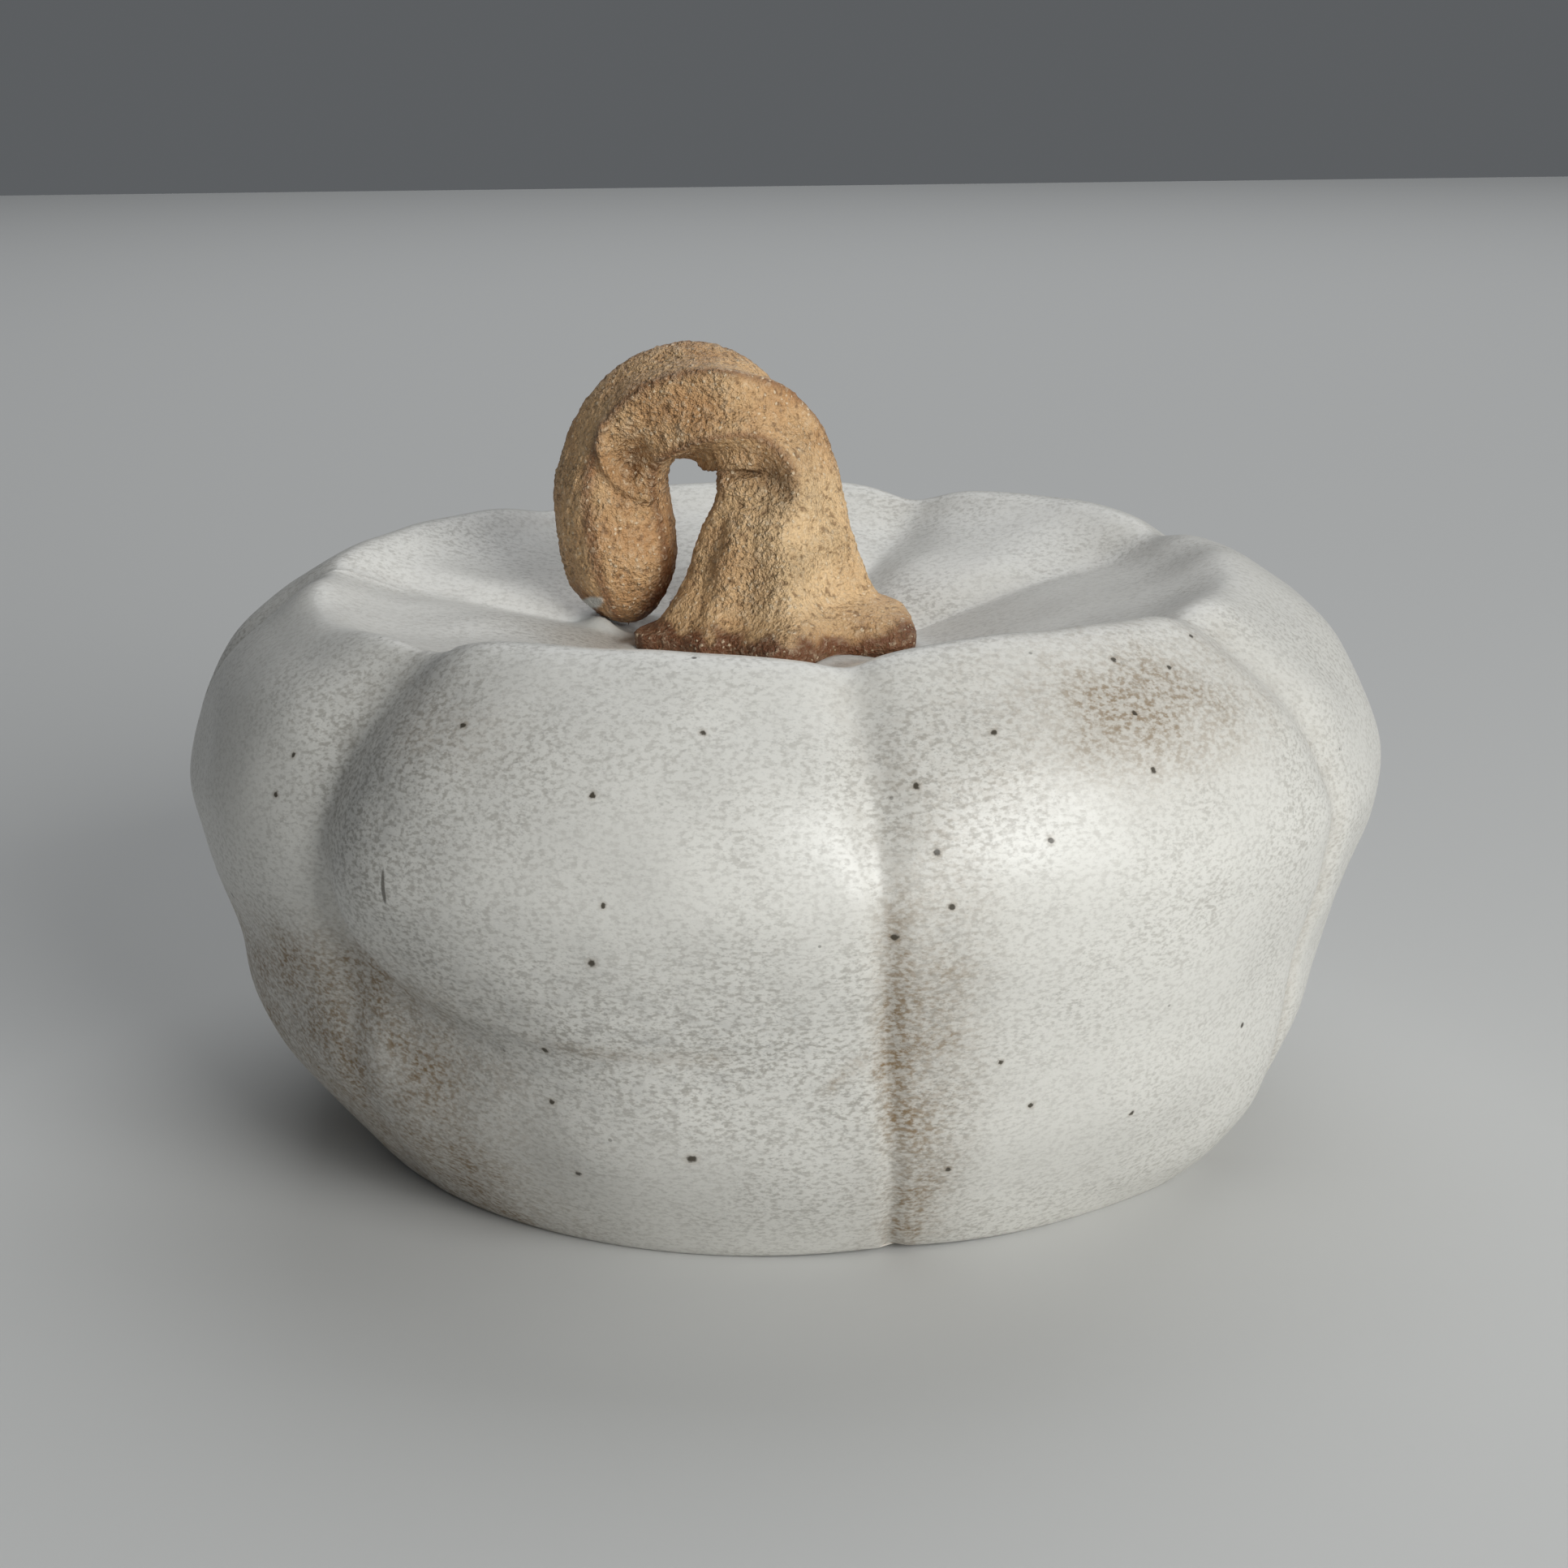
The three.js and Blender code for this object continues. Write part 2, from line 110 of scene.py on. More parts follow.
# The stem's sections from its foot to its tip: centre, radius at the ridges, depth of the flutes as a
# share of it, how soft the ridges are, and how far they have turned.
STEM = np.array([
    (-0.6, 1.0, 48.6, 14.0, 0.20, 0.50, 0),
    (-0.6, 1.0, 51.4, 15.2, 0.24, 0.50, 0),
    (-0.6, 1.0, 53.4, 16.2, 0.26, 0.45, 0),
    (-0.6, 1.0, 55.1, 15.8, 0.26, 0.40, 1),
    (-0.7, 1.0, 57.3, 12.4, 0.24, 0.35, 5),
    (-0.6, 1.0, 60.3, 10.3, 0.20, 0.25, 4),
    (-0.5, 1.0, 64.4, 8.8, 0.16, 0.20, 4),
    (-0.4, 0.9, 68.3, 7.5, 0.16, 0.15, 12),
    (-0.9, 0.9, 71.8, 7.0, 0.18, 0.10, 15),
    (-2.2, 1.1, 74.7, 6.6, 0.21, 0.10, 2),
    (-4.8, 1.5, 77.0, 6.7, 0.23, 0.10, -24),
    (-8.2, 2.1, 78.2, 6.9, 0.23, 0.10, -39),
    (-11.8, 2.9, 77.8, 6.7, 0.20, 0.12, -44),
    (-15.1, 3.8, 76.0, 6.2, 0.14, 0.15, -48),
    (-17.3, 4.6, 72.6, 6.1, 0.10, 0.25, -51),
    (-18.2, 5.2, 68.4, 6.5, 0.07, 0.30, -53),
    (-17.9, 5.5, 64.2, 6.7, 0.05, 0.30, -55),
    (-17.5, 5.6, 60.2, 6.4, 0.04, 0.30, -57),
    (-17.2, 5.7, 57.3, 5.3, 0.04, 0.30, -58),
    (-17.0, 5.7, 55.2, 3.7, 0.04, 0.30, -58),
    (-16.9, 5.7, 53.9, 2.0, 0.04, 0.30, -58),
    (-16.9, 5.7, 53.3, 0, 0.04, 0.30, -58),
])
STEM_FOOT = STEM[2]
STEM_TIP = STEM[-3]
STEM_START = 0.03
STEM_RIDGES = 5
FIRST_RIDGE = 5

# At its foot the stem's right ridge comes round to the front as a broad toe, and a lesser ridge runs
# down the left of its front. Both belong only to sections wider than the neck.
NECK_RADIUS = 7.5
RIGHT_TOE = dict(
    height=54, rise=2.8, shift=20, shift_at=60, shift_width=30, push=1.9, push_at=50, push_width=22,
)
LESSER_RIDGE = dict(angle=-34, width=12, share=0.13, full=64, top=70)

# Slow unevenness of the body and of the clay: its height, the size of its waves and its seed.
BODY_UNEVENNESS = [(0.28, 34, 1), (0.07, 11, 2)]
CLAY_UNEVENNESS = [(0.035, 0.8, 5), (0.03, 2.2, 6), (0.06, 6, 7)]
FLAT_FOOT_RISE = 6

# The soft turning line round the lower third of the body's front.
TURNING_LINE = dict(height=26.3, sway=0.5, sways=3, half_width=0.6, depth=0.12, azimuth=-9, reach=16)

# Glaze pooled against the stem's foot, against its tip and in a blob beside the tip: its height, how
# far outside the edge it is thickest, and its half width.
FOOT_POOL = (0.45, 0.7, 1.1)
TIP_POOL = (0.6, 0.5, 1.3)
TIP_RADIUS = 3.6
BLOB = dict(x=-20.2, y=3.6, height=1.3, half_width=2.6)
DIMPLE_T = 0.7
POOLED_AT = 0.5

# Brown patches of the glaze: azimuth, half angle, height, half height, strength and the outline share
# at which the patch stops. The grey ones have the first four.
BROWN_PATCHES = [(36, 17, 56.5, 5.5, 0.95, 0.72), (-33, 9, 55.5, 3, 0.35, 0.75)]
GREY_PATCHES = [(-14, 26, 27, 10), (-38, 9, 50, 12)]
STAIN_END = 0.75

# Brown stains along the grooves: azimuth, half angle, and the heights where it is full and gone.
SEAM_STAIN = dict(azimuth=12.5, angle=4.5, full=48, gone=60)
LINE_STAIN = dict(azimuth=9.0, angle=1.5, full=36, gone=46)
# The stain low on the left flank and the one beside the bulge are partly a brown stain and partly painted
# shade with a painted brown reflection.
LEFT_STAIN_AND_SHADE = dict(azimuth=-62, angle=26, full=20, gone=36)
BULGE_STAIN_AND_SHADE = dict(azimuth=-45, angle=13, full=28, gone=38)
STAIN_AND_SHADE_STRENGTH = dict(seam=0.6, front_line=0.8, left=1.3, beside_bulge_and_shade=0.8, back_grooves=0.9)
SEAM_GREY = 0.6
SEAM_ABOVE = 0.6
SEAM_LOWER_HALF = (44, 32)
LINE_LEAN = dict(top=26, foot=6, angle=3)
BACK_AZIMUTHS = (50, 70)
BACK_STAIN_HEIGHTS = (58, 30)

# Brown streaks in the glaze: azimuth and height of both ends, half width and strength.
STREAKS = [
    (-23, 27.2, -6, 26.2, 0.8, 0.4),
    (3.3, 22.7, 6.2, 25.6, 0.7, 0.55),
    (10, 27.1, 13.6, 27.6, 0.9, 1.3),
    (8.2, 24.2, 12, 23.6, 0.6, 0.9),
]

# Iron specks in the glaze, as azimuth, height and radius, and the halo round them beside the radius.
SPECKS = [
    (-30, 56, 0.35), (-7, 57, 0.3), (-16, 52, 0.3), (-51.5, 50.3, 0.3), (-52.5, 46, 0.3), (-14, 42.5, 0.25),
    (-16, 36.5, 0.4), (-22, 26, 0.35), (-10, 15, 0.5), (-22, 12, 0.35), (-22, 20, 0.3), (-66, 31.5, 0.35),
    (20, 56, 0.3), (34, 56, 0.3), (36, 60, 0.3), (42, 58.5, 0.3), (50, 60, 0.3), (34, 51.6, 0.3),
    (12, 52, 0.35), (12.5, 46.5, 0.35), (13.5, 41.8, 0.3), (9.2, 39, 0.4), (22, 47, 0.3), (22.8, 19, 0.3),
    (34, 15.5, 0.25), (15.3, 12, 0.35), (18.9, 24.2, 0.25),
]
SPECK_SPREAD = 1.25
HALO_SPREAD = 2.2
SHAKE = 0.0004

# A scratch down the front left lobe: azimuth, height of its middle, half width and half length.
SCRATCH = (-34, 41, 0.32, 3.2)

# Marks on the stem's front, in x and height: the fold down its left shoulder, the crease under the
# arch and the brow beside it as lines, then hollows as a middle and two half widths. Then how wide the
# lines are, how far each mark stands out, how dark it is painted (painted shade in the hollows and the
# crease, partly darker clay), and the depth over which the front begins.
FOLD_LINE = [(-18.6, 76.4), (-19.0, 73.9), (-18.4, 71.6), (-16.8, 69.7), (-14.6, 68.5)]
CREASE_LINE = [(-7.0, 71.2), (-4.8, 71.3), (-2.6, 71.4), (-0.4, 70.9), (1.0, 69.8)]
BROW_LINE = [(0.4, 74.0), (2.1, 72.6), (3.0, 71.0), (3.4, 69.2), (3.5, 67.3)]
PIT = ((-15.4, 71.6), (1.2, 1.8))
TROUGH = ((-16.0, 72.2), (2.0, 3.2))
SLIT = ((-4.2, 71.4), (1.7, 0.34))
ARMPIT = ((-0.6, 70.9), (2.6, 2.6))
LINE_HALF_WIDTH = dict(fold=0.6, crease=0.9, brow=1.1, crease_shade=1.2)
MARK_HEIGHT = dict(fold=0.9, pit=-0.9, trough=-1.0, brow=0.5, armpit=-1.2, crease=-0.5, slit=-1.3)
MARK_SHADE_AND_DARK_CLAY = dict(trough=0.7, pit=0.5, armpit=0.8, crease_shade=0.5, slit=1.5)
FRONT_DEPTH = 3

# Grog grains that stand out of the clay, and how their grid is warped.
GROG = dict(spacing=1.15, share=0.4, seed=11)
SMALL_GROG = dict(spacing=0.55, share=0.5, seed=23)
GROG_HEIGHT = 0.2
SMALL_GROG_HEIGHT = 0.09
GROG_WARP = dict(reach=0.25, size=0.9, seeds=(31, 32, 33))

# Zones of the stem by x and height: coarse clay on the arch and up the neck, and the neck painted paler as
# painted light, where the light falls on it.
COARSE_ARCH = dict(x=-12, half_width=6, begins=(66, 71), ends=(91, 90))
COARSE_NECK = dict(x=-2.5, half_width=4, begins=(56, 60), ends=(73, 69))
PAINTED_LIGHT_NECK = dict(x=3, half_width=7, begins=(54, 59), ends=(75, 68))

# How coarse the clay is elsewhere, at the least, and its unevenness.
COARSE_ELSEWHERE = 0.25
COARSE_LEAST = 0.15
COARSE_LAYERS = [(0.25, 7, 9)]

# Where the stem's foot part ends and its tip part starts, as shares of its length.
FOOT_END_T = 0.4
TIP_START_T = 0.6

# Where the clay is flashed red-brown, each as the value where it begins and the value where it is
# full: by height at the foot, radius on the toes, height at the tip, side and height up the inner side
# of the tip, and side and share of the length along the rim. At the tip and up its inner side the
# red-brown is also painted shade, where the arm turns from the light and meets the neck and the body.
# At the foot it is lower on the left, by x, and has a wavy edge.
LOW_CLAY = (56.2, 53)
WIDE_CLAY = (11.5, 16.5)
TIP_CLAY = (61, 54.5)
INNER_SIDE = (-0.2, -0.9)
INNER_CLAY = (67, 60)
RIM_SIDE = (0.55, 0.95)
RIM_T = (0.55, 0.65)
FLASH_AND_SHADE_STRENGTH = dict(low=0.85, toes=0.45, tip=0.5, inner=0.6, rim=0.35)
LOWER_ON_LEFT = (6, -8)
LOWER_BY = 1.2
LOW_CLAY_LAYERS = [(0.5, 3, 8)]

# Where the dark ridges begin, how sharp they are, and where the relief fades out at the tip.
RIDGE_T = (0.3, 0.42)
RIDGE_SHARPNESS = 4
TIP_END_T = (1, 0.96)

# How pale the small grog is beside the large, and the smear of glaze beside the tip.
SMALL_GROG_PALE = 0.6
SMEAR = dict(x=-20.8, height=56.2, slope=0.4, half_width=1.5, half_height=1.1)

# How finely the surfaces are divided.
BODY_COLUMNS_PER_LOBE = 56
BODY_ROWS = 236
GROOVE_CROWDING = 1.5
STEM_COLUMNS = 256
STEM_ROWS = 370
LINE_STEPS = 40
FAR = 1e9

# Numbers that scramble a grid cell into five draws from 0 to 1.
CELL_MIX = np.array([127.1, 311.7, 74.7])
CELL_SCRAMBLE = 43758.5453
CELL_DRAWS = (1.0, 1.37, 1.91, 2.43, 3.17)

# The camera of the photograph, and the photograph's size in pixels.
CAMERA_DISTANCE = 326
CAMERA_ELEVATION = 15.47
CAMERA_ROLL = -0.70
CAMERA_TARGET = (0.3, 0, 35.9)
CAMERA_FOCAL_PX = 3590
PHOTO_SIDE_PX = 1932
SENSOR_MM = 36

# The lights: name, azimuth, elevation, distance, side, watts and colour.
LIGHTS = [
    ("window", 35, 21, 900, 460, 6.6, (0.98, 0.99, 0.975)),
    ("sky", 170, 52, 1500, 1400, 9.5, (0.96, 0.98, 1.0)),
]
LIT_POINT = (0, 0, 35)
WORLD_COLOUR = (0.9, 0.95, 1.0)
WORLD_STRENGTH = 0.118
FLOOR_HALF_SIDE = 1.5

# Colours, as linear red, green and blue.
GLAZE_WHITE = (0.72, 0.705, 0.66)
GLAZE_FLECK = (0.41, 0.39, 0.35)
GLAZE_GREY = (0.33, 0.325, 0.31)
GLAZE_BROWN = (0.23, 0.15, 0.07)
GLAZE_GROOVE = (0.30, 0.25, 0.19)
GLAZE_POOLED = (0.70, 0.71, 0.68)
IRON_SPECK = (0.045, 0.035, 0.02)
CLAY_TAN = (0.78, 0.50, 0.25)
CLAY_WARM = (0.60, 0.33, 0.145)
# A paler tan painted on the neck as painted light.
CLAY_NECK_PAINTED_LIGHT = (0.96, 0.69, 0.39)
CLAY_DARK = (0.22, 0.115, 0.05)
# Red-brown of flashed clay, also used as painted shade at the stem's tip and inner side.
CLAY_FLASH_AND_SHADE = (0.21, 0.078, 0.032)
CLAY_PALE = (0.88, 0.70, 0.48)
FLOOR_GREY = (0.62, 0.62, 0.61)

# The places of a colour mix node's sockets.
MIX_AMOUNT = 0
MIX_FIRST = 6
MIX_SECOND = 7
MIX_RESULT = 2


def spline(stations, t):
    """Uniform Catmull-Rom curve: each span's cubic passes through its two stations, with slopes that
    are half the step between the neighbours; the end stations are repeated."""
    p = np.asarray(stations, float).reshape(len(stations), -1)
    spans = len(p) - 1
    u = np.clip(t, 0, 1) * spans
    i = np.minimum(u.astype(int), spans - 1)
    w = (u - i)[:, None]
    a, b = p[i], p[i + 1]
    before = p[np.maximum(i - 1, 0)]
    after = p[np.minimum(i + 2, spans)]
    slope_a = (b - before) / 2
    slope_b = (after - a) / 2
    cubic = 2 * a - 2 * b + slope_a + slope_b
    square = 3 * b - 3 * a - 2 * slope_a - slope_b
    return cubic * w**3 + square * w**2 + slope_a * w + a


def spline_direction(stations, t, tiny):
    """The unit direction in which the curve runs at t, from two points a tiny step apart."""
    along = spline(stations, np.minimum(t + tiny, 1)) - spline(stations, np.maximum(t - tiny, 0))
    return along / np.linalg.norm(along, axis=1)[:, None]


def bell(distance, half_width):
    """A bump of height 1 that falls away as exp(-(distance / half width) squared)."""
    return np.exp(-((distance / half_width) ** 2))


def smoothstep(low, high, value):
    """0 at low, 1 at high, and a smooth S between them; low may be the larger one."""
    x = np.clip((value - low) / (high - low), 0, 1)
    return x * x * (3 - 2 * x)


def softened(wave, softness):
    """The size of the wave from 0 to 1, with its sharp bottom rounded off by the softness."""
    return (np.hypot(wave, softness) - softness) / (np.hypot(1, softness) - softness)


def degrees_apart(a, b):
    """The signed angle from b to a, from -180 to 180."""
    return np.mod(a - b + 180, 360) - 180


def unevenness(points, size, seed, waves=20):
    """Smooth noise about 1 high: the sum of sine waves about size apart in seeded random directions,
    divided by the root of their number."""
    rng = np.random.default_rng(seed)
    direction = rng.normal(size=(waves, 3))
    direction /= np.linalg.norm(direction, axis=1)[:, None]
    step = direction * (2 * np.pi / size * rng.uniform(0.7, 1.4, (waves, 1)))
    phase = rng.uniform(0, 2 * np.pi, waves)
    return np.sin(points @ step.T + phase).sum(-1) * math.sqrt(2 / waves)


def layered_unevenness(points, layers):
    """The sum of layers of smooth noise, each with its own height, size and seed."""
    return sum(height * unevenness(points, size, seed) for height, size, seed in layers)


def grains(points, spacing, share, seed):
    """Rounded grains: each cube of a grid holds one point at a seeded place, and round a share of
    these points stands a dome, height 1 - (distance / radius) squared, with a radius of its own."""
    cell = np.floor(points / spacing)
    tallest = np.zeros(points.shape[:-1])
    for offset in itertools.product((-1, 0, 1), repeat=3):
        corner = cell + offset
        mixed = corner @ CELL_MIX + seed
        draws = [np.mod(np.abs(np.sin(mixed * k) * CELL_SCRAMBLE), 1) for k in CELL_DRAWS]
        centre = (corner + np.stack(draws[:3], -1)) * spacing
        radius = spacing * (0.3 + 0.35 * draws[3])
        apart = np.linalg.norm(points - centre, axis=-1)
        dome = np.clip(1 - (apart / radius) ** 2, 0, 1) * (draws[4] < share)
        tallest = np.maximum(tallest, dome)
    return tallest


def near_line(plane, line):
    """The distance in a plane from each point to a smooth line through the given points."""
    nearest = np.full(plane.shape[:-1], FAR)
    for station in spline(line, np.linspace(0, 1, LINE_STEPS)):
        nearest = np.minimum(nearest, np.linalg.norm(plane - station, axis=-1))
    return nearest


def oval(plane, mark):
    """A bell over an oval with the mark's middle and half widths."""
    middle, half_widths = mark
    return bell(np.linalg.norm((plane - middle) / half_widths, axis=-1), 1)


def closed_mesh(name, first_pole, rings, last_pole, attributes):
    """A mesh of rings of quads closed by a fan at each pole, with its points in metres and the given
    values at each point (poles take the nearest ring's mean)."""
    count, columns = rings.shape[:2]
    points = np.concatenate([[first_pole], rings.reshape(-1, 3), [last_pole]]) * MM
    last = len(points) - 1
    here = 1 + np.arange(count * columns).reshape(count, columns)
    right = np.roll(here, -1, axis=1)
    quads = np.stack([here[:-1], right[:-1], right[1:], here[1:]], -1).reshape(-1, 4)
    low = np.stack([np.zeros(columns, int), right[0], here[0]], -1)
    high = np.stack([np.full(columns, last), here[-1], right[-1]], -1)
    mesh = bpy.data.meshes.new(name)
    mesh.from_pydata(points.tolist(), [], quads.tolist() + low.tolist() + high.tolist())
    for key, values in attributes.items():
        layer = mesh.attributes.new(key, "FLOAT", "POINT")
        whole = np.concatenate([[values[0].mean()], values.reshape(-1), [values[-1].mean()]])
        layer.data.foreach_set("value", whole.astype(np.float32))
    mesh.shade_smooth()
    piece = bpy.data.objects.new(name, mesh)
    bpy.context.scene.collection.objects.link(piece)
    return piece


def leant(radius, azimuth, height):
    """A point from distance, azimuth and height, moved over in step with its height by the lean."""
    share = height / GIRTH_HEIGHT - 1
    angle = np.radians(azimuth)
    x = radius * np.sin(angle) + LEAN[0] * share
    y = -radius * np.cos(angle) + LEAN[1] * share
    return np.stack([x, y, height + 0 * angle], -1)


def body_columns():
    """Lobe and share of the way across it for each column, crowded beside the grooves."""
    u = np.arange(BODY_COLUMNS_PER_LOBE) / BODY_COLUMNS_PER_LOBE
    left = 0.5 * (2 * np.minimum(u, 0.5)) ** GROOVE_CROWDING
    right = 1 - 0.5 * (2 - 2 * np.maximum(u, 0.5)) ** GROOVE_CROWDING
    across = np.where(u < 0.5, left, right)
    return np.repeat(np.arange(LOBE_COUNT), BODY_COLUMNS_PER_LOBE), np.tile(across, LOBE_COUNT)


def on_wall(azimuth, height):
    """Azimuth and height laid out flat, both in millimetres, as they are on the bulge."""
    return np.stack([degrees_apart(azimuth, 0) * MM_PER_DEGREE, height + 0 * azimuth], -1)


def bulge_setback(azimuth, height):
    """How far the wall stands back outside the bulge's edge: a smooth step across the nearest piece of
    the edge, fading out again away from it as exp(-(distance / return) squared)."""
    x, y = np.moveaxis(on_wall(azimuth, height), -1, 0)
    nearest = np.full(x.shape, FAR)
    outward = np.zeros(x.shape)
    depth = np.zeros(x.shape)
    for (angle, level, setback), (to_angle, to_level, to_setback) in zip(BULGE_EDGE[:-1], BULGE_EDGE[1:]):
        step = np.array([(to_angle - angle) * MM_PER_DEGREE, to_level - level])
        reach = np.hypot(*step)
        dx = x - angle * MM_PER_DEGREE
        dy = y - level
        along = np.clip((dx * step[0] + dy * step[1]) / reach**2, 0, 1)
        apart = np.hypot(dx - along * step[0], dy - along * step[1])
        side = np.where(dx * step[1] - dy * step[0] > 0, 1, -1)
        closer = apart < nearest
        nearest = np.where(closer, apart, nearest)
        outward = np.where(closer, apart * side, outward)
        depth = np.where(closer, setback + (to_setback - setback) * along, depth)
    return depth * smoothstep(*BULGE_STEP, outward) * bell(np.maximum(outward, 0), BULGE_RETURN)


def body_skin(t):
    """The body's rings at the outline shares t, as a function of an extra outward offset, with each
    point's azimuth and its nearness to a groove line. A point is the outline's, moved along the
    outline's normal by the lobe's swelling and the toe, less the lobe's fall to its grooves, the groove
    line and the setback outside the bulge."""
    lobe, across = body_columns()
    after = (lobe + 1) % LOBE_COUNT
    low = np.clip((GIRTH_T - t) / GIRTH_T, 0, 1)[:, None]
    high = np.clip((t - GIRTH_T) / (1 - GIRTH_T), 0, 1)[:, None]
    groove_azimuth = LOBES["groove"] + LOBES["foot_lean"] * low**2 + LOBES["top_lean"] * high
    start = groove_azimuth[:, lobe]
    end = groove_azimuth[:, after] + np.where(after == 0, 360, 0)
    azimuth = start + (end - start) * across
    from_line = np.minimum(across, 1 - across) * (end - start)
    near = np.where(across < 0.5, lobe, after)
    table = spline(np.stack([LOBE_FALL, LINE_DEPTH, LINE_ANGLE], -1), t)
    fall_size, line_depth, line_angle = table.T[..., None]
    line_share = LOBES["line"][near]

    foot_depth = LOBES["foot_depth"][lobe] * (1 - across) + LOBES["foot_depth"][after] * across
    arch = softened(np.sin(np.pi * across), LOBES["softness"][near])
    fall = (1 - arch**LOBE_FULLNESS) * fall_size * (1 + (foot_depth - 1) * low**FOOT_FADE)
    line = bell(from_line, line_angle * line_share) * (1 + (LOBES["foot_line"][near] - 1) * low**FOOT_FADE)
    swell = np.sin(np.pi * across) * sum(
        LOBES[key][lobe] * bell(t[:, None] - middle, half_length)
        for key, (middle, half_length) in SWELLS.items()
    )
    place = spline(OUTLINE, t)
    along = spline_direction(OUTLINE, t, 1e-4)
    toe = bell(degrees_apart(azimuth, TOE["azimuth"]), TOE["angle"])
    toe = toe * bell(place[:, 1:] - TOE["height"], TOE["rise"])
    setback = (bulge_setback(azimuth, place[:, 1:]) - TOE["push"] * toe) * (t < WALL_END)[:, None]
    out = swell - fall - line * line_depth * line_share - setback

    def at(extra):
        radius = np.maximum(0, place[:, :1] + along[:, 1:] * (out + extra))
        height = np.maximum(0, place[:, 1:] - along[:, :1] * (out + extra))
        return leant(radius, azimuth, height)

    return at, azimuth, line * line_depth / max(LINE_DEPTH)


def stem_sections(t):
    """The stem's middle line at t with its radius, flutes and turn, and the two directions that its
    section is set out in: to the front, and out of the bend."""
    station = spline(STEM, t)
    ahead = spline_direction(STEM[:, :3], t, 1e-3)
    front = np.array([0, -1.0, 0]) + ahead * ahead[:, 1:2]
    front /= np.linalg.norm(front, axis=1)[:, None]
    return station, front, np.cross(ahead, front)


def stem_reach(height, radius, flute, softness, turn, angle):
    """How far the stem's skin stands from its middle line, and 0 on a ridge to 1 in the flute between
    two: a softened |sin| of 5/2 of the angle."""
    below_neck = radius > NECK_RADIUS
    toe = bell(height - RIGHT_TOE["height"], RIGHT_TOE["rise"]) * below_neck
    shift = bell(degrees_apart(angle, RIGHT_TOE["shift_at"]), RIGHT_TOE["shift_width"])
    shift = RIGHT_TOE["shift"] * toe * shift
    wave = np.sin(np.radians(STEM_RIDGES / 2 * (angle + shift - FIRST_RIDGE - turn)))
    share = softened(wave, softness)
    push = bell(degrees_apart(angle, RIGHT_TOE["push_at"]), RIGHT_TOE["push_width"])
    push = RIGHT_TOE["push"] * toe * push
    lesser = LESSER_RIDGE["share"] * radius * below_neck
    lesser = lesser * smoothstep(LESSER_RIDGE["top"], LESSER_RIDGE["full"], height)
    lesser = lesser * bell(degrees_apart(angle, LESSER_RIDGE["angle"]), LESSER_RIDGE["width"])
    return radius * (1 - flute * share) + push + lesser, share


def from_stem_foot(points):
    """How far outside the stem's foot a point is, in plan, by the foot's own fluted outline."""
    foot_x, foot_y, *section = STEM_FOOT
    dx = points[..., 0] - foot_x
    dy = points[..., 1] - foot_y
    reach = stem_reach(*section, np.degrees(np.arctan2(dx, -dy)))[0]
    return np.hypot(dx, dy) - reach


def pool_beside(distance, pool):
    """A rounded bank of glaze outside an edge: a bell round the distance at which it is thickest."""
    height, out, half_width = pool
    return height * bell(distance - out, half_width)


def body_relief(plain, azimuth, t):
    """What hand and kiln added to the body's skin, outwards: slow unevenness, less a soft turning line,
    and the pooled glaze, which is also returned on its own. The unevenness fades out at the flat foot."""
    height = plain[..., 2]
    slow = layered_unevenness(plain, BODY_UNEVENNESS)
    sway = TURNING_LINE["sway"] * np.sin(np.radians(azimuth * TURNING_LINE["sways"]))
    turning = bell(height - TURNING_LINE["height"] - sway, TURNING_LINE["half_width"])
    turning = turning * bell(degrees_apart(azimuth, TURNING_LINE["azimuth"]), TURNING_LINE["reach"])
    turning = TURNING_LINE["depth"] * turning
    from_tip = np.hypot(plain[..., 0] - STEM_TIP[0], plain[..., 1] - STEM_TIP[1]) - TIP_RADIUS
    from_blob = np.hypot(plain[..., 0] - BLOB["x"], plain[..., 1] - BLOB["y"])
    pool = pool_beside(from_stem_foot(plain), FOOT_POOL) + pool_beside(from_tip, TIP_POOL)
    pool = (pool + BLOB["height"] * bell(from_blob, BLOB["half_width"])) * (t > DIMPLE_T)[:, None]
    return (slow - turning) * smoothstep(0, FLAT_FOOT_RISE, height) + pool, pool


def groove_stain(azimuth, height, stain, lean=0):
    """A bell across the stain's azimuth, fading out upwards from where it is full to where it is gone."""
    across = bell(degrees_apart(azimuth, stain["azimuth"] + lean), stain["angle"])
    return across * smoothstep(stain["gone"], stain["full"], height)


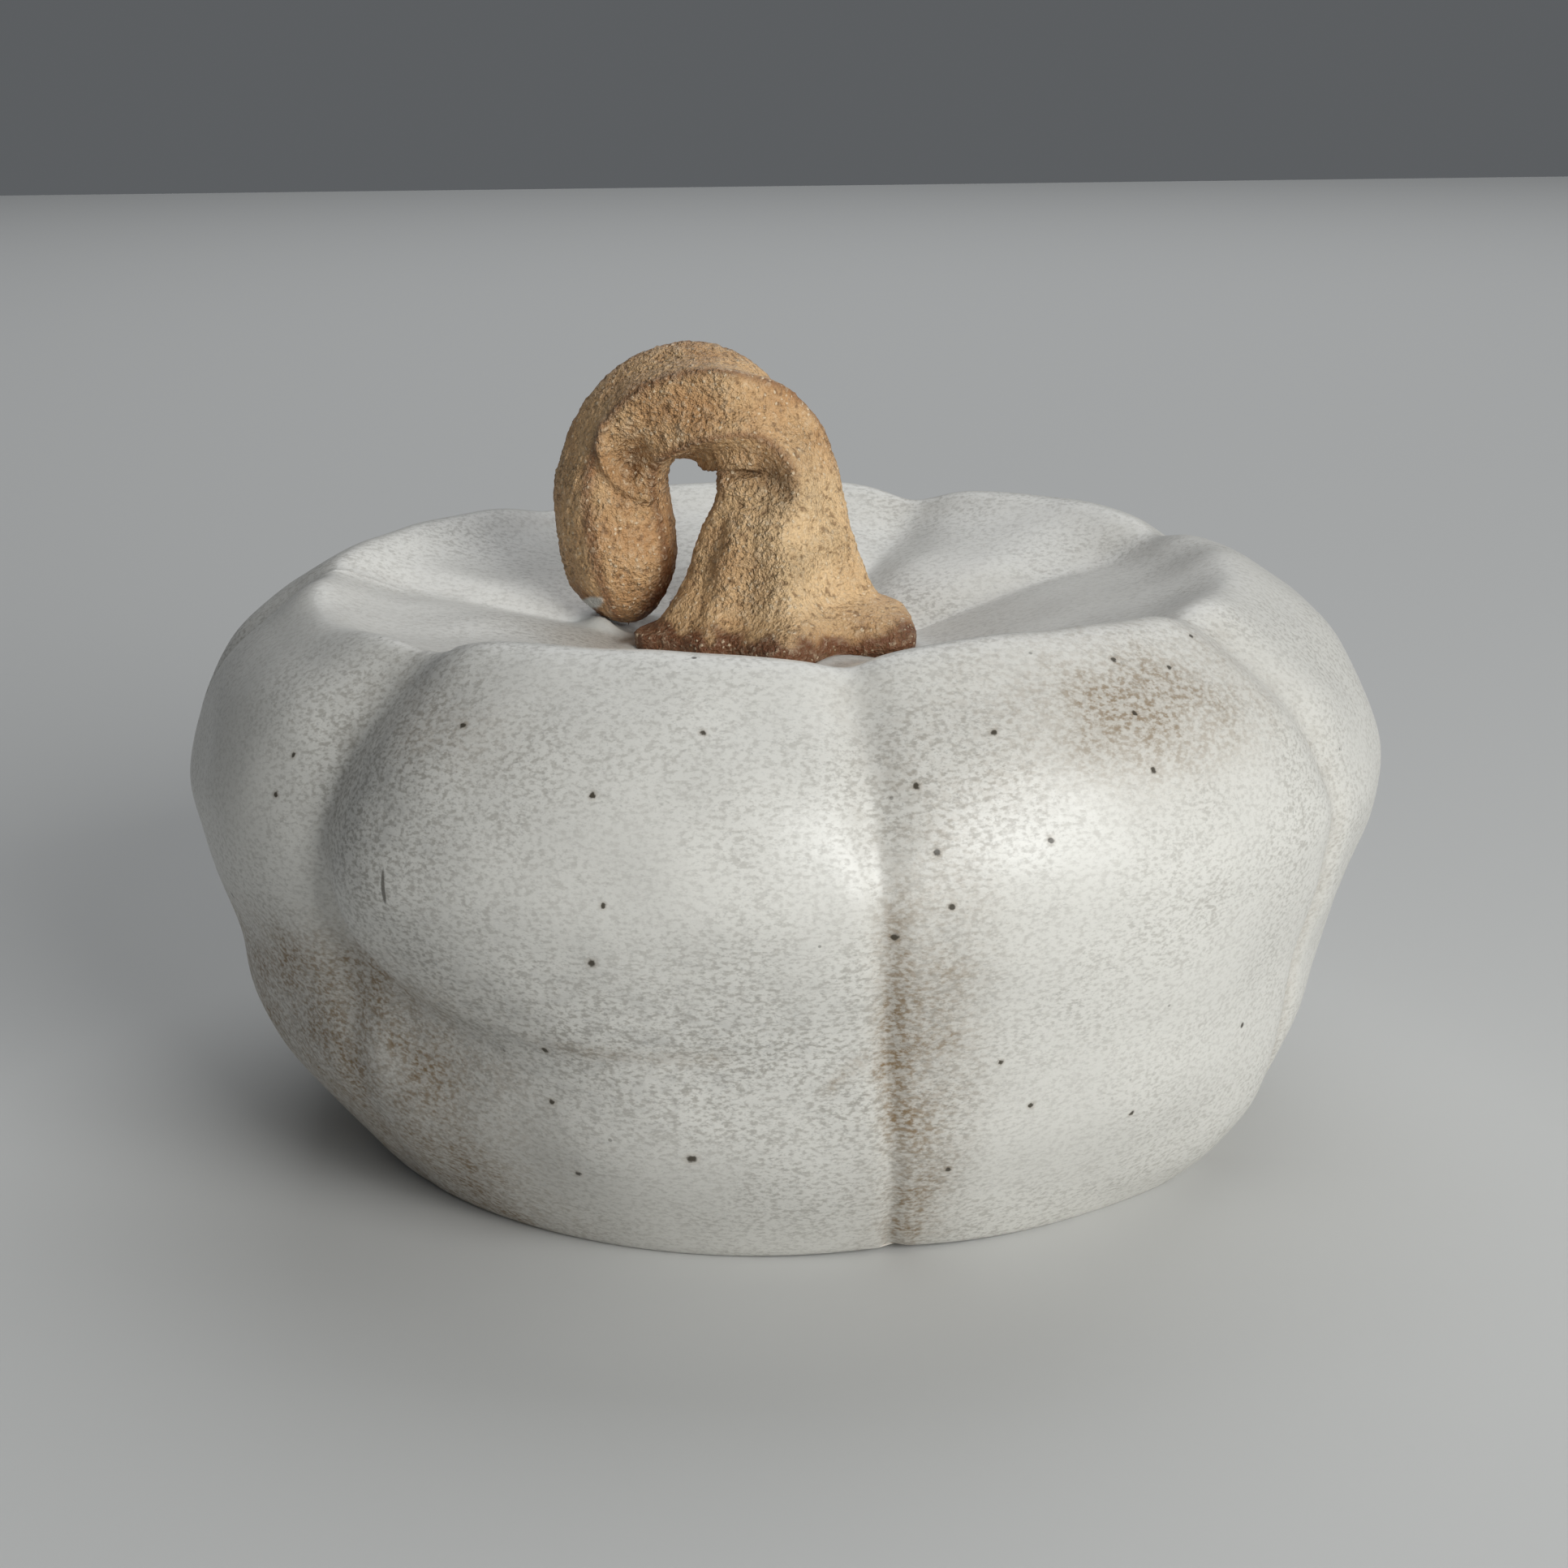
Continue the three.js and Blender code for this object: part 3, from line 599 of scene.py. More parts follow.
def glaze_stains_and_shade(azimuth, height, groove, t):
    """How brown and how grey the glaze is at each point, from 0 to 1: patches, stains along the grooves
    and beside the bulge, and streaks. Low on the left flank and beside the bulge the brown and grey are
    partly painted shade and a painted brown reflection."""
    seam = groove_stain(azimuth, height, SEAM_STAIN)
    seam = seam * (SEAM_ABOVE + (1 - SEAM_ABOVE) * smoothstep(*SEAM_LOWER_HALF, height))
    lean = LINE_LEAN["angle"] * smoothstep(LINE_LEAN["top"], LINE_LEAN["foot"], height)
    # Low on the left flank: partly a brown stain, partly painted shade and a painted brown reflection.
    left = groove_stain(azimuth, height, LEFT_STAIN_AND_SHADE)
    behind = smoothstep(*BACK_AZIMUTHS, np.abs(degrees_apart(azimuth, 0)))
    stains = dict(
        seam=seam,
        front_line=groove_stain(azimuth, height, LINE_STAIN, lean),
        left=left,
        beside_bulge_and_shade=groove_stain(azimuth, height, BULGE_STAIN_AND_SHADE),
        back_grooves=behind * groove * smoothstep(*BACK_STAIN_HEIGHTS, height),
    )
    brown = sum(STAIN_AND_SHADE_STRENGTH[key] * stain for key, stain in stains.items())
    for angle, half_angle, level, half_height, strength, last_t in BROWN_PATCHES:
        patch = bell(degrees_apart(azimuth, angle), half_angle) * bell(height - level, half_height)
        brown = brown + strength * patch * (t < last_t)[:, None]
    wall = on_wall(azimuth, height)
    for angle, level, end_angle, end_level, half_width, strength in STREAKS:
        ends = [(angle * MM_PER_DEGREE, level), (end_angle * MM_PER_DEGREE, end_level)]
        brown = brown + strength * bell(near_line(wall, ends), half_width)
    # The painted shade low on the left greys the glaze as well as browning it.
    grey = SEAM_GREY * seam + left
    for angle, half_angle, level, half_height in GREY_PATCHES:
        grey = grey + bell(degrees_apart(azimuth, angle), half_angle) * bell(height - level, half_height)
    return np.clip(brown, 0, 1) * (t < STAIN_END)[:, None], np.clip(grey, 0, 1)


def glazed_body():
    """The body's skin moved outwards by its relief, closed by a flat foot and by a pole in the dimple,
    and a function that gives the place on it of an azimuth and a height."""
    t = np.linspace(0, 1, BODY_ROWS, endpoint=False)
    at, azimuth, groove = body_skin(t)
    plain = at(0)
    height = plain[..., 2]
    relief, pool = body_relief(plain, azimuth, t)
    rings = at(relief)
    centre = leant(np.zeros(1), 0, np.zeros(1))[0]
    flat = rings[0] * (1, 1, 0)
    flat = flat * FLAT_SHARE + centre * (1 - FLAT_SHARE)
    rings = np.concatenate([[flat], rings])
    dimple = plain[-1].mean(0) * (1, 1, 0) + (0, 0, OUTLINE[-1][1])

    brown, grey = glaze_stains_and_shade(azimuth, height, groove, t)
    pooled = np.clip(pool / POOLED_AT, 0, 1)
    attributes = dict(brown=brown, grey=grey, groove=groove, pooled=pooled, bare=np.zeros_like(brown))
    attributes = {key: np.concatenate([value[:1], value]) for key, value in attributes.items()}
    attributes["bare"][0] = 1

    def place_of(angle, level):
        off = (degrees_apart(azimuth, angle) * MM_PER_DEGREE) ** 2 + (height - level) ** 2
        outside = off + FAR * (t > CREST_T)[:, None]
        row, column = np.unravel_index(np.argmin(outside), off.shape)
        return rings[row + 1, column] * MM

    return closed_mesh("glazed_body", centre, rings, dimple, attributes), place_of


def fold_marks(points, middle_y):
    """On the stem's front: a raised fold down its left shoulder with a pit inside it, and the brow,
    hollow, crease and short slit where the arch bends over the neck. Returned outwards in millimetres,
    with how dark their hollows are painted: painted shade, partly darker clay."""
    plane = points[..., [0, 2]]
    hollows = dict(pit=PIT, trough=TROUGH, slit=SLIT, armpit=ARMPIT)
    marks = {key: oval(plane, mark) for key, mark in hollows.items()}
    from_crease = near_line(plane, CREASE_LINE)
    away = dict(
        fold=near_line(plane, FOLD_LINE),
        crease=from_crease,
        crease_shade=from_crease,
        brow=near_line(plane, BROW_LINE),
    )
    for key, distance in away.items():
        marks[key] = bell(distance, LINE_HALF_WIDTH[key])
    front_side = smoothstep(0, FRONT_DEPTH, middle_y - points[..., 1])
    relief = sum(height * marks[key] for key, height in MARK_HEIGHT.items())
    # Painted shade, partly darker clay: the hollows, the crease and the slit under the arch are darkened in
    # colour.
    shade_and_dark_clay = sum(darkness * marks[key] for key, darkness in MARK_SHADE_AND_DARK_CLAY.items())
    return front_side * relief, front_side * np.clip(shade_and_dark_clay, 0, 1)


def stem_zone(plain, zone):
    """A bell across the zone's x, from the heights where it begins to those where it ends."""
    across = bell(plain[..., 0] - zone["x"], zone["half_width"])
    return across * smoothstep(*zone["begins"], plain[..., 2]) * smoothstep(*zone["ends"], plain[..., 2])


def clay_grain(plain):
    """The heights of the grog and of the small grog, from 0 to 1, and where the clay is coarse: on the
    arch, up the neck, and unevenly elsewhere."""
    warp = np.stack([unevenness(plain, GROG_WARP["size"], seed) for seed in GROG_WARP["seeds"]], -1)
    warped = plain + GROG_WARP["reach"] * warp
    coarse = stem_zone(plain, COARSE_ARCH) + stem_zone(plain, COARSE_NECK)
    coarse = coarse + layered_unevenness(plain, COARSE_LAYERS) + COARSE_ELSEWHERE
    return grains(warped, **GROG), grains(warped, **SMALL_GROG), np.clip(coarse, COARSE_LEAST, 1)


def clay_flash_and_shade(plain, angle, radius, t):
    """How red-brown the clay is: flashed at the very foot and its toes and along the rim on the outside of
    the bend, and flashed with painted shade at the tip and up the tip's inner side."""
    x = plain[..., 0]
    height = plain[..., 2]
    near_foot = (t < FOOT_END_T)[:, None]
    near_tip = (t > TIP_START_T)[:, None]
    wavy = height - LOWER_BY * smoothstep(*LOWER_ON_LEFT, x) + layered_unevenness(plain, LOW_CLAY_LAYERS)
    zones = dict(
        low=smoothstep(*LOW_CLAY, wavy) * near_foot,
        toes=smoothstep(*WIDE_CLAY, radius) * near_foot,
        # At the tip and up its inner side the red-brown is partly painted shade.
        tip=smoothstep(*TIP_CLAY, height) * near_tip,
        inner=smoothstep(*INNER_SIDE, np.sin(angle)) * smoothstep(*INNER_CLAY, height) * near_tip,
        rim=smoothstep(*RIM_SIDE, np.sin(angle)) * smoothstep(*RIM_T, t)[:, None],
    )
    return np.clip(sum(FLASH_AND_SHADE_STRENGTH[key] * zone for key, zone in zones.items()), 0, 1)


def glaze_smear(plain, middle_y, t):
    """A slanting smear of glaze on the left of the stem's tip, on its front half alone."""
    right = plain[..., 0] - SMEAR["x"]
    above = plain[..., 2] - SMEAR["height"] - SMEAR["slope"] * right
    smear = bell(right, SMEAR["half_width"]) * bell(above, SMEAR["half_height"])
    return smear * smoothstep(1, -1, plain[..., 1] - middle_y) * (t > TIP_START_T)[:, None]


def clay_stem():
    """The fluted section carried along the bent middle line, moved outwards by grog grains, unevenness
    and the marks of its folds, and closed by a pole at each end."""
    t = np.linspace(STEM_START, 1, STEM_ROWS, endpoint=False)
    station, front, outer = stem_sections(t)
    angle = np.linspace(0, 2 * np.pi, STEM_COLUMNS, endpoint=False)
    _, y, height, radius, flute, softness, turn = station.T[..., None]
    reach, share = stem_reach(height, np.maximum(radius, 0), flute, softness, turn, np.degrees(angle))
    way = np.cos(angle)[None, :, None] * front[:, None] + np.sin(angle)[None, :, None] * outer[:, None]
    middle = station[:, None, :3]
    plain = middle + reach[..., None] * way

    grog, small_grog, coarse = clay_grain(plain)
    marks, hollow_shade_and_dark_clay = fold_marks(plain, y)
    relief = GROG_HEIGHT * grog * coarse + SMALL_GROG_HEIGHT * small_grog
    relief = relief + layered_unevenness(plain, CLAY_UNEVENNESS) + marks
    rings = plain + way * (relief * smoothstep(*TIP_END_T, t)[:, None])[..., None]
    attributes = dict(
        flash_and_shade=clay_flash_and_shade(plain, angle, reach, t),
        ridge=np.clip(1 - share * RIDGE_SHARPNESS, 0, 1) * smoothstep(*RIDGE_T, t)[:, None],
        hollow_shade_and_dark_clay=hollow_shade_and_dark_clay,
        grog=np.clip(grog * coarse + SMALL_GROG_PALE * small_grog, 0, 1),
        smear=glaze_smear(plain, y, t),
        coarse=coarse,
        neck_painted_light=stem_zone(plain, PAINTED_LIGHT_NECK),
    )
    return closed_mesh("clay_stem", middle[0, 0], rings, middle[-1, 0] - (0, 0, 0.3), attributes)


def vent_hole(body):
    """A blind round hole cut up into the flat underside."""
    x, y, depth = VENT["x"], VENT["y"], VENT["depth"]
    angle = np.linspace(0, 2 * np.pi, VENT["sides"], endpoint=False)
    ring = np.stack([x + VENT["radius"] * np.cos(angle), y + VENT["radius"] * np.sin(angle), 0 * angle], -1)
    rings = np.stack([ring - (0, 0, 1), ring + (0, 0, depth)])
    cutter = closed_mesh("vent_cutter", np.array([x, y, -1]), rings, np.array([x, y, depth]), {})
    cut = body.modifiers.new("vent", "BOOLEAN")
    cut.object = cutter
    cut.operation = "DIFFERENCE"
    cut.solver = "MANIFOLD"
    bpy.context.view_layer.objects.active = body
    bpy.ops.object.modifier_apply(modifier=cut.name)
    bpy.data.objects.remove(cutter)


def feed(tree, socket, value):
    """Links an input to another node's output, or sets it to a plain value."""
    if isinstance(value, bpy.types.NodeSocket):
        tree.links.new(value, socket)
    else:
        socket.default_value = value


def new_group(name, inputs, outputs):
    """An empty shader node group with the named sockets. An input is (name, kind, value)."""
    group = bpy.data.node_groups.new(name, "ShaderNodeTree")
    for label, kind, value in inputs:
        socket = group.interface.new_socket(label, in_out="INPUT", socket_type=kind)
        if value is not None:
            socket.default_value = value
    for label in outputs:
        group.interface.new_socket(label, in_out="OUTPUT", socket_type="NodeSocketFloat")
    return group, group.nodes.new("NodeGroupInput"), group.nodes.new("NodeGroupOutput")


def add(tree, kind, settings=None, **inputs):
    """Adds a node with its settings, and feeds its inputs by name."""
    made = tree.nodes.new(kind)
    for key, value in (settings or {}).items():
        setattr(made, key, value)
    for key, value in inputs.items():
        feed(tree, made.inputs[key.replace("_", " ")], value)
    return made


def use(tree, group, **inputs):
    """A node that holds the group, with its inputs fed by name."""
    return add(tree, "ShaderNodeGroup", {"node_tree": group}, **inputs)


def calculated(tree, kind, operation, values):
    """A math node of the kind, with its inputs fed in order."""
    made = add(tree, kind, {"operation": operation})
    for socket, value in zip(made.inputs, values):
        feed(tree, socket, value)
    return made


def math_node(tree, operation, *values):
    """The result of a math node on numbers."""
    return calculated(tree, "ShaderNodeMath", operation, values).outputs[0]


def vector_math(tree, operation, *values):
    """The result of a math node on vectors."""
    result = "Value" if operation == "DISTANCE" else "Vector"
    return calculated(tree, "ShaderNodeVectorMath", operation, values).outputs[result]


def weighted(tree, base, *parts):
    """The base plus each value times its weight."""
    total = base
    for value, weight in parts:
        total = math_node(tree, "MULTIPLY_ADD", value, weight, total)
    return total


def varied(tree, amount, by, least, more):
    """The amount times a factor: least where the other value is 0, and least + more where it is 1."""
    return math_node(tree, "MULTIPLY", amount, weighted(tree, least, (by, more)))


def ramp(tree, value, low, high):
    """The value stretched so that low becomes 0 and high becomes 1, with smooth ends."""
    made = add(tree, "ShaderNodeMapRange", {"interpolation_type": "SMOOTHSTEP"}, Value=value)
    feed(tree, made.inputs["From Min"], low)
    feed(tree, made.inputs["From Max"], high)
    return made.outputs["Result"]


def laid_over(tree, colour, top, mask, share=1):
    """The colour turning into the top colour by the mask times the share."""
    amount = mask if share == 1 else math_node(tree, "MULTIPLY", mask, share)
    made = add(tree, "ShaderNodeMix", {"data_type": "RGBA"})
    feed(tree, made.inputs[MIX_AMOUNT], amount)
    for place, value in ((MIX_FIRST, colour), (MIX_SECOND, top)):
        feed(tree, made.inputs[place], (*value, 1) if isinstance(value, tuple) else value)
    return made.outputs[MIX_RESULT]


def shaken(tree, place, per_metre):
    """The place moved about by fine noise, so that what is drawn on it gets a ragged edge."""
    noise = add(tree, "ShaderNodeTexNoise", None, Vector=place, Scale=per_metre, Detail=1.0)
    return vector_math(tree, "MULTIPLY_ADD", noise.outputs["Color"], (SHAKE, SHAKE, SHAKE), place)


def speck_group():
    """Spots scattered in space: each cell of a jittered grid holds one, and a share of them shows."""
    group, given, result = new_group(
        "scattered_spots",
        [
            ("Vector", "NodeSocketVector", None),
            ("Per Metre", "NodeSocketFloat", 200),
            ("Share", "NodeSocketFloat", 0.2),
            ("Radius", "NodeSocketFloat", 0.3),
        ],
        ["Mask"],
    )
    cells = add(
        group, "ShaderNodeTexVoronoi", {"feature": "F1"},
        Vector=given.outputs["Vector"], Scale=given.outputs["Per Metre"],
    )
    draws = add(group, "ShaderNodeSeparateColor", None, Color=cells.outputs["Color"])
    chosen = math_node(group, "LESS_THAN", draws.outputs[0], given.outputs["Share"])
    size = weighted(group, 0.5, (draws.outputs[1], 0.7))
    outer = math_node(group, "MULTIPLY", size, given.outputs["Radius"])
    inner = math_node(group, "MULTIPLY", outer, 0.5)
    round_spot = ramp(group, cells.outputs["Distance"], outer, inner)
    group.links.new(math_node(group, "MULTIPLY", round_spot, chosen), result.inputs["Mask"])
    return group


def one_spot_group():
    """A single soft-edged spot of the given radius round a place."""
    group, given, result = new_group(
        "one_spot",
        [
            ("Vector", "NodeSocketVector", None),
            ("Middle", "NodeSocketVector", None),
            ("Radius", "NodeSocketFloat", 0.0003),
        ],
        ["Mask"],
    )
    apart = vector_math(group, "DISTANCE", given.outputs["Vector"], given.outputs["Middle"])
    inner = math_node(group, "MULTIPLY", given.outputs["Radius"], 0.5)
    group.links.new(ramp(group, apart, given.outputs["Radius"], inner), result.inputs["Mask"])
    return group


def mottle_group():
    """Cloudy noise, as it is and stretched so that it is 0 up to one level and 1 from another."""
    group, given, result = new_group(
        "mottle",
        [
            ("Vector", "NodeSocketVector", None),
            ("Per Metre", "NodeSocketFloat", 1000),
            ("Detail", "NodeSocketFloat", 2),
            ("From", "NodeSocketFloat", 0.4),
            ("To", "NodeSocketFloat", 0.6),
        ],
        ["Value", "Raw"],
    )
    noise = add(
        group, "ShaderNodeTexNoise", None,
        Vector=given.outputs["Vector"], Scale=given.outputs["Per Metre"],
        Detail=given.outputs["Detail"], Roughness=0.6,
    )
    stretched = ramp(group, noise.outputs["Fac"], given.outputs["From"], given.outputs["To"])
    group.links.new(stretched, result.inputs["Value"])
    group.links.new(noise.outputs["Fac"], result.inputs["Raw"])
    return group


def surface(name):
    """A new material with its principled shader, its nodes' tree and its object coordinates."""
    material = bpy.data.materials.new(name)
    material.use_nodes = True
    tree = material.node_tree
    shader = tree.nodes["Principled BSDF"]
    place = tree.nodes.new("ShaderNodeTexCoord").outputs["Object"]
    return material, tree, shader, place


def stored(tree, name):
    """The value that the mesh keeps at each point under this name."""
    return add(tree, "ShaderNodeAttribute", {"attribute_name": name}).outputs["Fac"]


def iron_specks(tree, spots, one_spot, place, place_of):
    """Masks of the dark iron specks and of the halos round them: specks scattered by a rule, those of
    the front at their own places, and the scratch."""
    large = use(tree, spots, Vector=place, Per_Metre=110, Share=0.16, Radius=0.045)
    small = use(tree, spots, Vector=place, Per_Metre=300, Share=0.14, Radius=0.07)
    faint = math_node(tree, "MULTIPLY", small.outputs["Mask"], 0.55)
    speck = math_node(tree, "MAXIMUM", large.outputs["Mask"], faint)
    halo = 0.0
    ragged = shaken(tree, place, 2500)
    for angle, level, radius in SPECKS:
        middle = tuple(place_of(angle, level) + SHAKE / 2)
        spot = use(tree, one_spot, Vector=ragged, Middle=middle, Radius=SPECK_SPREAD * radius * MM)
        speck = math_node(tree, "MAXIMUM", speck, spot.outputs["Mask"])
        ring = use(tree, one_spot, Vector=ragged, Middle=middle, Radius=HALO_SPREAD * radius * MM)
        halo = math_node(tree, "MAXIMUM", ring.outputs["Mask"], halo)
    angle, level, half_width, half_length = SCRATCH
    squeeze = (1, 1, half_width / half_length)
    middle = tuple(place_of(angle, level) * squeeze)
    squeezed = vector_math(tree, "MULTIPLY", place, squeeze)
    scratch = use(tree, one_spot, Vector=squeezed, Middle=middle, Radius=half_width * MM).outputs["Mask"]
    return math_node(tree, "MAXIMUM", speck, math_node(tree, "MULTIPLY", scratch, 0.8)), halo


def glaze_material(mottle, spots, one_spot, place_of):
    """Satin off-white glaze: soft streaky flecks, faint clouds, brown freckles where it ran thin, dark
    iron specks, and bare clay under the foot. Low on the left the brown and grey are partly painted
    shade and a painted brown reflection."""
    material, tree, shader, place = surface("satin_glaze")
    squashed = vector_math(tree, "MULTIPLY", place, (1.0, 1.0, 1.7))
    flecks = use(tree, mottle, Vector=squashed, Per_Metre=1500, Detail=2, From=0.42, To=0.68)
    pepper = use(tree, mottle, Vector=squashed, Per_Metre=2600, Detail=1, From=0.60, To=0.72)
    blots = use(tree, mottle, Vector=squashed, Per_Metre=420, Detail=4, From=0.42, To=0.72)
    clouds = use(tree, mottle, Vector=place, Per_Metre=60, Detail=5, From=0.36, To=0.72)
    freckles = use(tree, mottle, Vector=squashed, Per_Metre=1400, Detail=3, From=0.42, To=0.64)
    patchy = use(tree, mottle, Vector=place, Per_Metre=170, Detail=6, From=0.30, To=0.70)
    grey = stored(tree, "grey")

    clouded = weighted(tree, 0.3, (grey, 0.6), (clouds.outputs["Value"], 0.45))
    flecked = math_node(tree, "MULTIPLY", flecks.outputs["Value"], clouded)
    peppered = math_node(tree, "MULTIPLY", pepper.outputs["Value"], clouded)
    greyed = varied(tree, grey, by=blots.outputs["Value"], least=0.08, more=0.3)
    browned = varied(tree, stored(tree, "brown"), by=patchy.outputs["Value"], least=0.45, more=0.65)
    browned = varied(tree, browned, by=freckles.outputs["Value"], least=0.32, more=0.6)
    in_groove = varied(tree, stored(tree, "groove"), by=blots.outputs["Value"], least=0.03, more=0.18)
    speck, halo = iron_specks(tree, spots, one_spot, place, place_of)
    bare = ramp(tree, stored(tree, "bare"), 0.3, 0.7)

    colour = laid_over(tree, GLAZE_WHITE, GLAZE_FLECK, flecked)
    colour = laid_over(tree, colour, GLAZE_GREY, peppered, share=0.5)
    colour = laid_over(tree, colour, GLAZE_GREY, greyed)
    colour = laid_over(tree, colour, GLAZE_BROWN, browned)
    colour = laid_over(tree, colour, GLAZE_GROOVE, in_groove)
    colour = laid_over(tree, colour, GLAZE_POOLED, stored(tree, "pooled"), share=0.8)
    colour = laid_over(tree, colour, GLAZE_BROWN, halo, share=0.2)
    colour = laid_over(tree, colour, IRON_SPECK, speck, share=0.95)
    colour = laid_over(tree, colour, CLAY_TAN, bare)
    tree.links.new(colour, shader.inputs["Base Color"])

    rough = weighted(tree, 0.36, (flecks.outputs["Value"], 0.12), (browned, 0.2), (bare, 0.5))
    tree.links.new(rough, shader.inputs["Roughness"])
    fine = use(tree, mottle, Vector=place, Per_Metre=800, Detail=2, From=0.2, To=0.8)
    height = weighted(tree, fine.outputs["Raw"], (flecks.outputs["Raw"], -0.4))
    bump = add(tree, "ShaderNodeBump", None, Height=height, Strength=0.22, Distance=0.0002)
    tree.links.new(bump.outputs["Normal"], shader.inputs["Normal"])
    return material


def clay_material(mottle, spots):
    """Bare toasted clay: tan with pale grog grains and dark hollows, the hollows and the low spots of its
    grain darkened as painted shade (the hollows partly darker clay), a neck painted paler as painted
    light, and flashed red-brown along its ridges and at its foot and tip, the tip's red-brown partly
    painted shade."""
    material, tree, shader, place = surface("bare_clay")
    clouds = use(tree, mottle, Vector=place, Per_Metre=150, Detail=3, From=0.34, To=0.70)
    sand = use(tree, mottle, Vector=place, Per_Metre=3200, Detail=2, From=0.35, To=0.65)
    crumbs = use(tree, mottle, Vector=place, Per_Metre=1250, Detail=3, From=0.53, To=0.72)
    bright = use(tree, spots, Vector=shaken(tree, place, 2200), Per_Metre=1700, Share=0.36, Radius=0.38)
    crumbly = crumbs.outputs["Raw"]
    ridge = varied(tree, stored(tree, "ridge"), by=crumbly, least=0.35, more=0.6)
    flash_and_shade = ramp(tree, weighted(tree, -0.75, (stored(tree, "flash_and_shade"), 1.5), (crumbly, 0.8)), 0.0, 1.0)
    # Painted shade in the low spots of the grain, from the same noise as the bump.
    crevice_shade = ramp(tree, crumbly, 0.47, 0.33)
    pale = math_node(tree, "MAXIMUM", stored(tree, "grog"), crumbs.outputs["Value"])
    smear = ramp(tree, weighted(tree, stored(tree, "smear"), (crumbly, 0.5)), 0.55, 0.95)

    colour = laid_over(tree, CLAY_TAN, CLAY_WARM, clouds.outputs["Value"])
    # Painted light: the neck is made paler where the light falls on it.
    colour = laid_over(tree, colour, CLAY_NECK_PAINTED_LIGHT, stored(tree, "neck_painted_light"), share=0.8)
    colour = laid_over(tree, colour, CLAY_FLASH_AND_SHADE, ridge)
    # Red-brown flashing, partly painted shade at the tip and up its inner side.
    colour = laid_over(tree, colour, CLAY_FLASH_AND_SHADE, flash_and_shade)
    # Painted shade darkening the grain's low spots.
    colour = laid_over(tree, colour, CLAY_DARK, crevice_shade, share=0.7)
    colour = laid_over(tree, colour, CLAY_DARK, sand.outputs["Value"], share=0.22)
    # Painted shade, partly darker clay, in the hollows, the crease and the slit.
    colour = laid_over(tree, colour, CLAY_DARK, stored(tree, "hollow_shade_and_dark_clay"), share=0.6)
    colour = laid_over(tree, colour, CLAY_PALE, pale, share=0.42)
    colour = laid_over(tree, colour, CLAY_PALE, bright.outputs["Mask"], share=0.75)
    colour = laid_over(tree, colour, GLAZE_WHITE, smear)
    tree.links.new(colour, shader.inputs["Base Color"])

    tree.links.new(weighted(tree, 0.55, (smear, -0.2)), shader.inputs["Roughness"])
    grain = weighted(tree, 0, (sand.outputs["Raw"], 0.5), (crumbly, 1.6), (bright.outputs["Mask"], 0.12))
    height = varied(tree, grain, by=stored(tree, "coarse"), least=0.35, more=0.65)
    bump = add(tree, "ShaderNodeBump", None, Height=height, Strength=1.0, Distance=0.0009)
    tree.links.new(bump.outputs["Normal"], shader.inputs["Normal"])
    return material


def plain_material(name, colour, roughness):
    """One colour and one roughness."""
    material, _, shader, _ = surface(name)
    shader.inputs["Base Color"].default_value = (*colour, 1)
    shader.inputs["Roughness"].default_value = roughness
    return material


